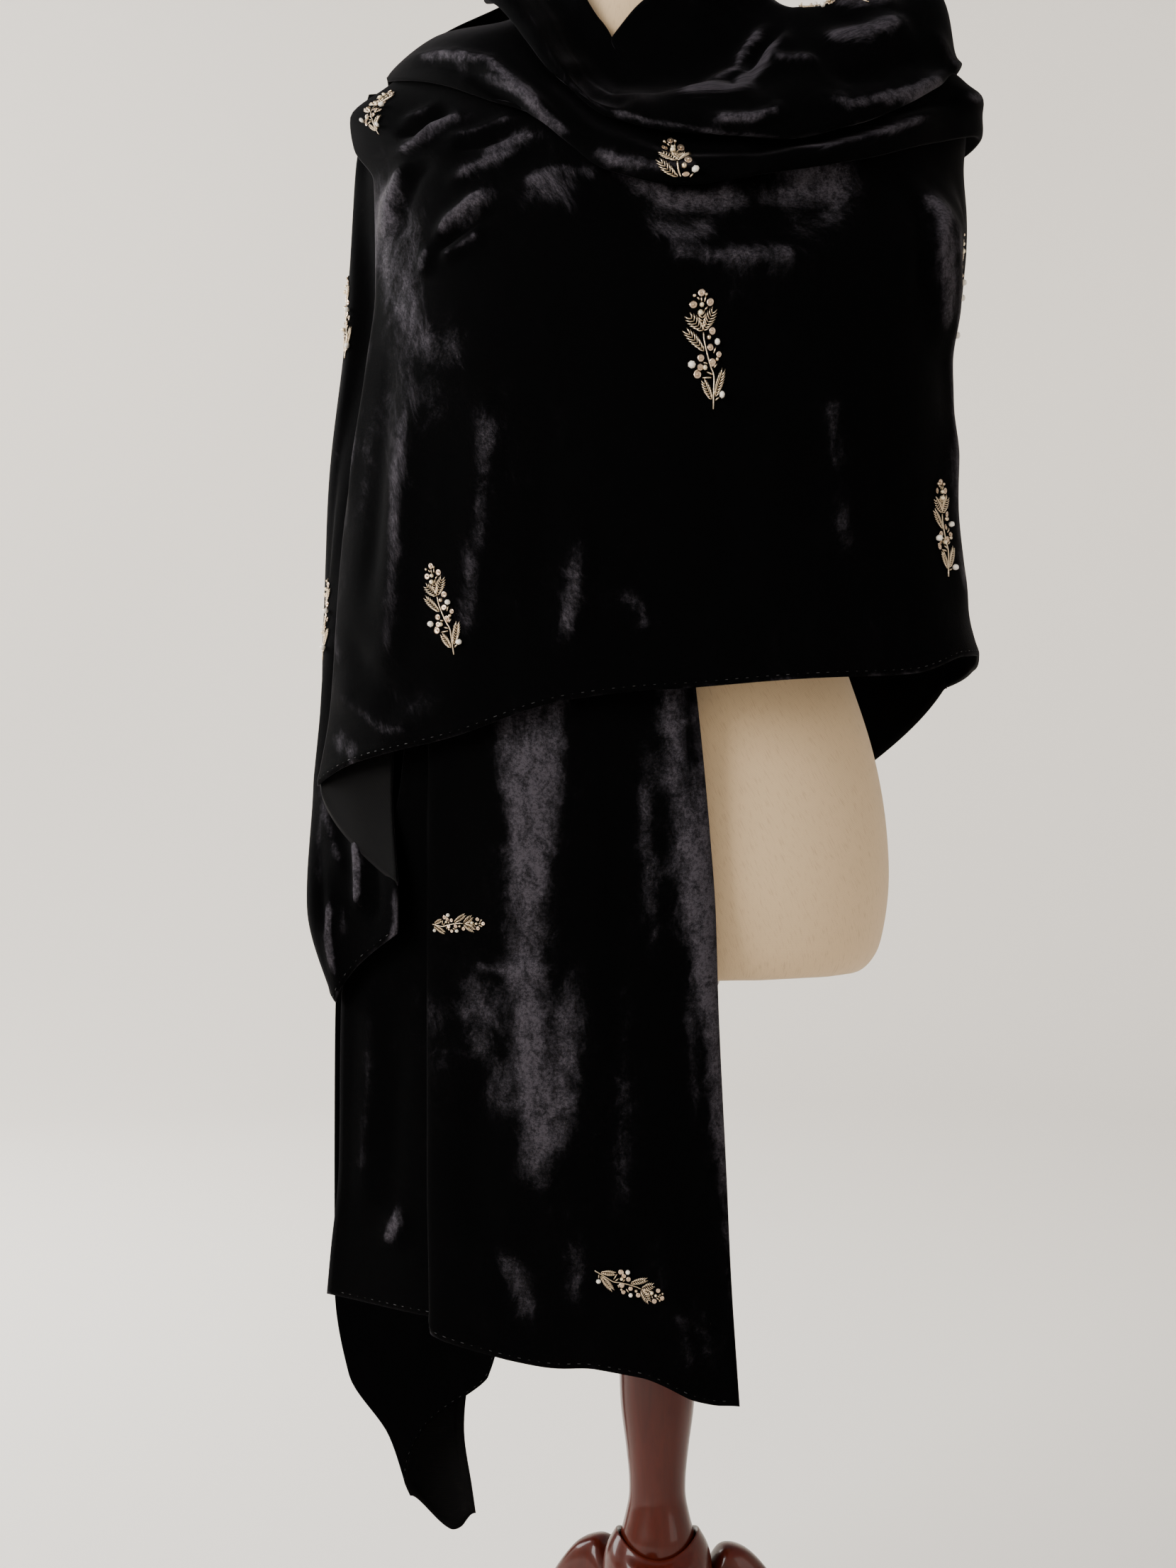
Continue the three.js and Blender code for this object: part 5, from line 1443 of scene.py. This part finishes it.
WRAP_NAP_AND_SHEEN = [
    ("front", [(-46, 1246), (-12, 1234), (8, 1226)], 0.62, 8),
    ("front", [(-30, 1230), (6, 1221), (40, 1221), (76, 1228)], 0.74, 9),
    ("front", [(56, 1220), (96, 1232), (130, 1236), (152, 1246)], 0.74, 11),
    ("front", [(60, 1246), (110, 1250), (150, 1258)], 0.58, 9),
    ("front", [(-26, 1210), (0, 1202), (20, 1200), (50, 1207)], 0.5, 8),
    ("front", [(20, 1188), (70, 1180), (120, 1190)], 0.34, 15),
    ("front", [(70, 1206), (110, 1212), (146, 1226)], 0.44, 10),
    ("front", [(-96, 1246), (-70, 1226), (-56, 1204)], 0.3, 8),
    ("front", [(-190, 1180), (-172, 1150), (-168, 1110)], 0.4, 10),
    ("front", [(-197, 1272), (-173, 1279), (-152, 1296), (-120, 1296)], 0.5, 9),
    ("front", [(-155, 1242), (-122, 1256), (-90, 1265)], 0.5, 9),
    ("front", [(-133, 1262), (-100, 1273), (-70, 1276)], 0.45, 8),
    ("front", [(-160, 1201), (-132, 1226), (-104, 1236)], 0.55, 8),
    ("front", [(-110, 1220), (-70, 1236), (-40, 1234)], 0.35, 12),
    ("front", [(-197, 1211), (-195, 1241), (-180, 1262)], 0.5, 9),
    ("front", [(-184, 1200), (-186, 1140), (-188, 1080), (-196, 1000)], 0.36, 16),
    ("front", [(-213, 1260), (-212, 1215), (-211, 1159), (-218, 1093)], 0.6, 5),
    ("front", [(-224, 1060), (-230, 960), (-238, 880)], 0.28, 8),
    ("front", [(-150, 1160), (-152, 1110), (-160, 1060)], 0.34, 20),
    ("front", [(-196, 1300), (-204, 1262), (-200, 1210), (-196, 1150)], 0.62, 11),
    ("front", [(-176, 1250), (-178, 1200), (-176, 1140)], 0.42, 14),
    ("front", [(-208, 1120), (-212, 1040), (-220, 960)], 0.3, 8),
    ("front", [(-236, 868), (-226, 852), (-206, 842)], 0.7, 8),
    ("front", [(-140, 1110), (-110, 1060), (-96, 1000)], 0.22, 20),
    ("front", [(-70, 996), (-66, 950), (-72, 908)], 0.34, 10),
    ("front", [(-150, 1000), (-156, 950), (-160, 900)], 0.18, 14),
    ("front", [(-34, 962), (-18, 942), (-14, 920)], 0.26, 8),
    ("front", [(-205, 900), (-180, 880), (-140, 876)], 0.24, 12),
    ("front", [(196, 1260), (198, 1194), (194, 1144)], 0.28, 7),
    ("right", [(-60, 1270), (-50, 1150), (-40, 1000)], 0.3, 12),
    ("front", [(60, 940), (100, 930), (140, 936)], 0.1, 14),
]
CASCADE_NAP_AND_SHEEN = [
    ("front", [(-217, 792), (-216, 770), (-215, 730)], 0.8, 2.4),
    ("front", [(-236, 752), (-239, 716), (-230, 676)], 0.75, 2.6),
    ("front", [(-190, 760), (-186, 728), (-193, 700)], 0.8, 3.4),
    ("front", [(-228, 744), (-226, 708)], 0.5, 3.4),
    ("front", [(-245, 820), (-250, 770), (-246, 735)], 0.45, 4),
    ("front", [(-240, 1180), (-244, 1060), (-250, 940)], 0.2, 5),
    ("left", [(30, 1250), (36, 1100), (34, 900)], 0.35, 12),
]
BACK_FOLD_NAP_AND_SHEEN = [("back", [(-150, 420), (-176, 330), (-180, 250), (-178, 190)], 1.3, 46)]
BACK_TAIL_NAP_AND_SHEEN = [
    ("back", [(-146, 1290), (-150, 1100), (-144, 960), (-150, 860)], 0.46, 19),
    ("back", [(-160, 1120), (-164, 1010), (-158, 930)], 0.3, 9),
    ("back", [(-214, 1230), (-218, 1050), (-222, 850)], 0.36, 10),
    ("back", [(-80, 1240), (-86, 1120), (-78, 1010)], 0.4, 13),
    ("back", [(-110, 940), (-106, 840), (-114, 760)], 0.34, 12),
    ("back", [(-172, 660), (-176, 540), (-168, 430)], 0.46, 14),
    ("back", [(-156, 760), (-150, 700)], 0.3, 9),
]
DRAPE_NAP_AND_SHEEN = [
    ("back", [(190, 1322), (130, 1284), (60, 1262), (0, 1256)], 0.5, 13),
    ("back", [(150, 1306), (100, 1290), (40, 1284)], 0.3, 9),
    ("back", [(180, 1236), (120, 1196), (50, 1166)], 0.38, 13),
    ("back", [(94, 1070), (88, 980), (94, 900)], 0.36, 16),
    ("back", [(60, 1000), (56, 920)], 0.24, 10),
    ("back", [(4, 1050), (0, 940), (-8, 840)], 0.42, 15),
    ("back", [(-22, 900), (-30, 820)], 0.26, 9),
    ("back", [(180, 1140), (178, 1040), (186, 930)], 0.34, 13),
    ("right", [(44, 1280), (48, 1160), (52, 1000)], 0.36, 12),
]
TAIL_NAP_AND_SHEEN = [
    ("front", [(-89, 990), (-92, 850), (-93, 800), (-91, 736), (-94, 700), (-90, 640), (-88, 580), (-86, 530),
               (-86, 470)], 0.7, 17),
    ("front", [(-108, 960), (-110, 850), (-106, 780)], 0.5, 8),
    ("front", [(-134, 724), (-130, 674), (-116, 620), (-110, 560)], 0.5, 13),
    ("front", [(-64, 726), (-62, 670), (-68, 610), (-74, 550)], 0.6, 12),
    ("front", [(-74, 940), (-72, 840), (-76, 760)], 0.5, 9),
    ("front", [(-160, 700), (-164, 640), (-158, 600)], 0.22, 12),
    ("front", [(2, 1010), (6, 860), (12, 800), (20, 740), (28, 680), (34, 600)], 0.74, 12),
    ("front", [(22, 980), (26, 860), (32, 760), (38, 640), (44, 520), (48, 400)], 0.62, 6),
    ("front", [(-14, 880), (-12, 800), (-8, 740), (-6, 680)], 0.5, 7),
    ("front", [(-30, 730), (-26, 640), (-28, 560), (-30, 480)], 0.3, 9),
    ("front", [(14, 700), (20, 630), (22, 560)], 0.34, 4),
    ("front", [(-116, 510), (-104, 488), (-96, 466), (-98, 440)], 0.5, 8),
    ("front", [(-60, 520), (-62, 486), (-56, 456)], 0.36, 10),
    ("front", [(-188, 530), (-187, 512), (-195, 496), (-196, 486)], 0.62, 4),
    ("front", [(20, 480), (30, 440), (36, 410)], 0.3, 12),
    ("front", [(-14, 540), (-6, 480), (-2, 440)], 0.3, 11),
]

# Moves: (view, path, width, shift).
TAIL_MOVES = [
    ("front", [(-44, 420), (-16, 412)], 24, (0, 0, 7)),
    ("front", [(24, 402), (34, 400)], 14, (0, 0, -3)),
]
WRAP_MOVES = [("front", [(-218, 1316), (-206, 1336)], 30, (-5, 0, 11))]
COWL_BAND_MOVES = [("front", [(54, 1270), (78, 1276), (104, 1285)], 12, (0, -1, 7))]
COWL_FOLD_MOVES = [
    ("front", [(-120, 1390), (-98, 1404)], 22, (-9, 0, 9)),
    ("front", [(-6, 1354), (8, 1374), (22, 1396), (26, 1420)], 18, (-25, 0, 0)),
]

# Sprigs: (view, across, height, turn of the stem, size, height below which a fold hides it).
WRAP_SPRIGS = [
    ("front", 31, 1120, 3, 1.0), ("front", -156, 944, 12, 0.8), ("front", 202, 1004, -4, 0.84),
    ("right", -30, 1190, 2, 1.0), ("front", -211, 1323, 18, 0.62),
]
COWL_BAND_SPRIGS = [("front", 7, 1251, 0, 1.0, 40)]
COWL_FOLD_SPRIGS = [("top", 112, -44, 60, 0.6)]
CASCADE_SPRIGS = [("left", 2, 948, 0, 0.76), ("left", 26, 1180, 4, 0.8)]
TAIL_SPRIGS = [
    ("front", -147, 725, -94, 0.5), ("front", -24, 477, -118, 0.62),
]
BACK_TAIL_SPRIGS = [
    ("back", -110, 1170, -4, 1.0), ("back", -190, 1010, 4, 1.0), ("back", -120, 850, -2, 1.0),
    ("back", -200, 690, 5, 1.0), ("back", -160, 480, 0, 1.0),
]
DRAPE_SPRIGS = [
    ("back", 130, 1240, 4, 1.0), ("back", -10, 1180, -3, 1.0), ("back", 160, 1010, -2, 1.0),
    ("back", 30, 950, 3, 1.0), ("back", -100, 850, 0, 1.0), ("back", 64, 1316, 8, 0.9),
    ("right", 70, 1130, -3, 0.9),
]
BACK_FOLD_SPRIGS = [("back", -150, 1000, 3, 0.9)]


# ---- stretches of the scarf --------------------------------------------------------------------------
# Each with its surface, its grid, and what lies on it. The flat size and the area are in metres.
STRETCHES = {
    "scarf_cowl_band": dict(
        surface=cowl_band, across=300, down=40, creases=COWL_BAND_CREASES, nap_and_sheen=COWL_BAND_NAP_AND_SHEEN,
        moves=COWL_BAND_MOVES, hems=(),
        sprigs=COWL_BAND_SPRIGS, flat=(0.08, 0.79), held="draped", rests_on=["form_torso"]),
    "scarf_cowl_fold": dict(
        surface=cowl_fold, across=300, down=70, creases=COWL_FOLD_CREASES, nap_and_sheen=COWL_FOLD_NAP_AND_SHEEN,
        moves=COWL_FOLD_MOVES, hems=("top",),
        sprigs=COWL_FOLD_SPRIGS, flat=(0.15, 0.62), held="gathered", rests_on=["form_torso"]),
    "scarf_front_wrap": dict(
        surface=front_wrap, across=270, down=148, creases=WRAP_CREASES, nap_and_sheen=WRAP_NAP_AND_SHEEN,
        moves=WRAP_MOVES, rim=0.34,
        sprigs=WRAP_SPRIGS, flat=(0.42, 0.66), held="draped", rests_on=["form_torso"]),
    "scarf_side_return": dict(
        surface=side_return, across=24, down=130, creases=RETURN_CREASES, rim=1.0,
        flat=(0.05, 0.55), held="hung", rests_on=["scarf_front_wrap"]),
    "scarf_side_cascade": dict(
        surface=side_cascade, across=64, down=156, creases=CASCADE_CREASES, nap_and_sheen=CASCADE_NAP_AND_SHEEN, rim=0.4,
        sprigs=CASCADE_SPRIGS, flat=(0.14, 0.68), held="hung", rests_on=["form_torso"]),
    "scarf_back_fold": dict(
        surface=back_fold, across=110, down=180, creases=BACK_FOLD_CREASES, nap_and_sheen=BACK_FOLD_NAP_AND_SHEEN,
        sprigs=BACK_FOLD_SPRIGS, flat=(0.36, 0.83), area=0.235, held="hung", rests_on=["form_torso"]),
    "scarf_back_tail": dict(
        surface=back_tail, across=110, down=204, creases=BACK_TAIL_CREASES, nap_and_sheen=BACK_TAIL_NAP_AND_SHEEN,
        hems=("bottom", "left"), sprigs=BACK_TAIL_SPRIGS, flat=(0.18, 1.25), held="hung",
        rests_on=["form_torso"]),
    "scarf_back_drape": dict(
        surface=back_drape, across=140, down=124, outward=-1, creases=DRAPE_CREASES, nap_and_sheen=DRAPE_NAP_AND_SHEEN,
        sprigs=DRAPE_SPRIGS, flat=(0.42, 0.68), held="draped", rests_on=["form_torso"]),
    "scarf_front_tail": dict(
        surface=front_tail, across=190, down=168, creases=TAIL_CREASES, nap_and_sheen=TAIL_NAP_AND_SHEEN, moves=TAIL_MOVES,
        hems=("bottom", "right", "left"), sprigs=TAIL_SPRIGS, flat=(0.48, 0.89), held="hung",
        rests_on=["form_torso"]),
}
BUILT = {}


def lay_cloth(*nodes):
    """Builds the cloth of these stretches. Sprigs and hem stitches are added to it later."""
    face, reverse = finish_named("silk_velvet", velvet), finish_named("satin_reverse", satin)
    for node in nodes:
        taken = ("surface", "across", "down", "outward", "creases", "nap_and_sheen", "moves", "hems", "rim")
        facts = {key: value for key, value in STRETCHES[node].items() if key in taken}
        BUILT[node] = Stretch(node.replace("scarf_", "velvet_"), **facts)
        keep(BUILT[node].shell(face, reverse), "velvet", node)


class SCARF_OT_stage(bpy.types.Operator):
    """Adds the camera, the lights and a plain pale floor that curves up into a wall"""
    bl_idname = "scarf.stage"
    bl_label = "Camera, Lights and Floor"

    def execute(self, context):
        stage = context.scene.scarf_stage
        data = bpy.data.cameras.new("camera")
        data.lens, data.sensor_width = stage.lens, stage.sensor
        data.clip_start, data.clip_end = 0.01, 60
        camera = bpy.data.objects.new("camera", data)
        camera.location = (AXIS[0] - stage.side, AXIS[1] - stage.distance, stage.height)
        camera.rotation_euler = (math.radians(90), 0, 0)
        context.scene.collection.objects.link(camera)
        context.scene.camera = camera

        paper = Shader("backdrop", Base_Color=(*stage.paper, 1), Specular_IOR_Level=0.1)
        cloud = paper.noise(paper.place(), 0.5, 2)
        darker = tuple(0.95 * c for c in stage.paper)
        finish = paper.feed(
            Base_Color=paper.colours(cloud, stage.paper, darker), Roughness=0.9 + cloud * 0.05,
        )
        bend = 2.0
        sweep = [
            (4.0 + bend * math.sin(a), bend - bend * math.cos(a)) for a in np.linspace(0, math.pi / 2, 14)
        ]
        rings = [(1.5, 0), (3.0, 0), *sweep, (4.0 + bend, 5.0)]
        around = 96
        angle = np.linspace(0, 2 * np.pi, around, endpoint=False)
        points = [(0, 0, 0)] + [
            (r * math.cos(a), r * math.sin(a), z) for r, z in rings for a in angle
        ]
        faces = [(0, 1 + i, 1 + (i + 1) % around) for i in range(around)]
        faces += tube_faces(len(rings), around, 1)
        floor = mesh_object("backdrop", np.array(points) / MM, faces, [finish])

        world = bpy.data.worlds.new("soft room")
        world.use_nodes = True
        world.node_tree.nodes["Background"].inputs["Color"].default_value = (0.95, 0.98, 1.0, 1)
        world.node_tree.nodes["Background"].inputs["Strength"].default_value = WORLD_LIGHT
        context.scene.world = world
        for name, place, aim, size, power, tint in LIGHTS:
            lamp = bpy.data.lights.new(name, "AREA")
            lamp.shape, lamp.size, lamp.size_y, lamp.energy, lamp.color = "RECTANGLE", *size, power, tint
            light = bpy.data.objects.new(name, lamp)
            light.location = Vector(place)
            light.rotation_euler = (Vector(aim) - light.location).to_track_quat("-Z", "Y").to_euler()
            light.visible_camera = False
            context.scene.collection.objects.link(light)
        return {"FINISHED"}


class SCARF_OT_form(bpy.types.Operator):
    """Adds the limbless dress form with its linen cover and turned neck cap"""
    bl_idname = "scarf.form"
    bl_label = "Dress Form"

    def execute(self, context):
        torso = smooth_copy("linen_torso", "form_torso", finish_named("woven_linen", linen), 2)
        keep(torso, "linen", "form_torso")
        cap = turned("wooden_neck_cap", NECK_CAP, finish_named("polished_mahogany", mahogany), 72, 6)
        keep(cap, "mahogany", "form_neck_cap")
        return {"FINISHED"}


class SCARF_OT_stand(bpy.types.Operator):
    """Adds the turned pole, its hub and three curved legs"""
    bl_idname = "scarf.stand"
    bl_label = "Tripod Stand"

    def execute(self, context):
        wood = finish_named("polished_mahogany", mahogany)
        keep(turned("turned_pole", POLE, wood, 112, 5), "mahogany", "stand_pole")
        hub = turned("turned_hub", HUB, wood, 112, 6)
        for vertex in hub.data.vertices:
            x, y, z = np.array(vertex.co) / MM - AXIS / MM
            rise = smooth((z - 236) / 30)
            vertex.co.z -= HUB_DIP * MM * float(rise) * math.sin(math.atan2(y, x)) ** 2
        keep(hub, "mahogany", "stand_hub")
        for number, azimuth in enumerate(LEG_AZIMUTHS, 1):
            keep(curved_leg(f"curved_leg_{number}", azimuth, wood), "mahogany", f"stand_leg_{number}")
        return {"FINISHED"}


class SCARF_OT_cowl(bpy.types.Operator):
    """Adds the folds of the scarf round the neck"""
    bl_idname = "scarf.cowl"
    bl_label = "Cowl"

    def execute(self, context):
        lay_cloth("scarf_cowl_band", "scarf_cowl_fold")
        return {"FINISHED"}


class SCARF_OT_wrap(bpy.types.Operator):
    """Adds the stretch across the front and its folds at the left side"""
    bl_idname = "scarf.wrap"
    bl_label = "Front Wrap"

    def execute(self, context):
        lay_cloth("scarf_front_wrap", "scarf_side_return", "scarf_side_cascade")
        return {"FINISHED"}


class SCARF_OT_back(bpy.types.Operator):
    """Adds the stretch across the back and the end thrown over the left shoulder"""
    bl_idname = "scarf.back"
    bl_label = "Back"

    def execute(self, context):
        lay_cloth("scarf_back_drape", "scarf_back_fold", "scarf_back_tail")
        face = finish_named("silk_velvet", velvet)
        run = smooth_copy("velvet_shoulder_run", "scarf_shoulder_run", face, 1)
        keep(run, "velvet", "scarf_shoulder_run")
        return {"FINISHED"}


class SCARF_OT_tail(bpy.types.Operator):
    """Adds the end that hangs down the front"""
    bl_idname = "scarf.tail"
    bl_label = "Front Tail"

    def execute(self, context):
        lay_cloth("scarf_front_tail")
        return {"FINISHED"}


class SCARF_OT_sprigs(bpy.types.Operator):
    """Embroiders sprigs of gold thread, sequins and pearls on every stretch"""
    bl_idname = "scarf.sprigs"
    bl_label = "Embroidered Sprigs"

    def execute(self, context):
        finishes = trim_finishes()
        for node, stretch in BUILT.items():
            places = STRETCHES[node].get("sprigs")
            if places:
                name = node.replace("scarf_", "sprigs_")
                keep(stitched_sprigs(name, stretch, places, finishes), "gold_trim")
        return {"FINISHED"}


class SCARF_OT_hems(bpy.types.Operator):
    """Sews small stitches along the bottom hems"""
    bl_idname = "scarf.hems"
    bl_label = "Hem Stitches"

    def execute(self, context):
        if len(BUILT) != len(STRETCHES):
            raise RuntimeError("lay all stretches of the scarf before sewing their hems")
        thread = Shader("hem_thread", Base_Color=(0.006, 0.006, 0.007, 1))
        twist = thread.noise(thread.place(), 1800, 1)
        material = thread.feed(
            Base_Color=thread.colours(twist, (0.014, 0.013, 0.016), (0.003, 0.003, 0.003)),
            Roughness=0.5 + twist * 0.3,
        )
        for node, facts in STRETCHES.items():
            if "bottom" in facts.get("hems", ("bottom",)):
                sewn = hem_stitches(node.replace("scarf_", "stitches_"), BUILT[node], material)
                keep(sewn, "velvet")
        return {"FINISHED"}


class SCARF_PT_panel(bpy.types.Panel):
    """Lists the pieces in the order they are added"""
    bl_label = "Velvet Scarf"
    bl_idname = "SCARF_PT_panel"
    bl_space_type = "VIEW_3D"
    bl_region_type = "UI"
    bl_category = "Velvet Scarf"

    def draw(self, context):
        for name in SETTINGS:
            settings = getattr(context.scene, name)
            box = self.layout.box()
            for key in settings.bl_rna.properties.keys():
                if key not in ("rna_type", "name"):
                    box.prop(settings, key)
        for operator in OPERATORS:
            self.layout.operator(operator.bl_idname)


SETTINGS = {
    "scarf_cloth": ScarfClothSettings, "scarf_trim": ScarfTrimSettings, "scarf_stage": ScarfStageSettings,
}
OPERATORS = (
    SCARF_OT_stage, SCARF_OT_form, SCARF_OT_stand, SCARF_OT_cowl, SCARF_OT_wrap, SCARF_OT_back, SCARF_OT_tail,
    SCARF_OT_sprigs, SCARF_OT_hems,
)


def register():
    for kind in (*SETTINGS.values(), *OPERATORS, SCARF_PT_panel):
        bpy.utils.register_class(kind)
    for name, kind in SETTINGS.items():
        setattr(bpy.types.Scene, name, bpy.props.PointerProperty(type=kind))


def unregister():
    for name in SETTINGS:
        delattr(bpy.types.Scene, name)
    for kind in reversed((*SETTINGS.values(), *OPERATORS, SCARF_PT_panel)):
        bpy.utils.unregister_class(kind)


def main():
    register()
    for operator in OPERATORS:
        group, name = operator.bl_idname.split(".")
        getattr(getattr(bpy.ops, group), name)()


if __name__ == "__main__":
    main()
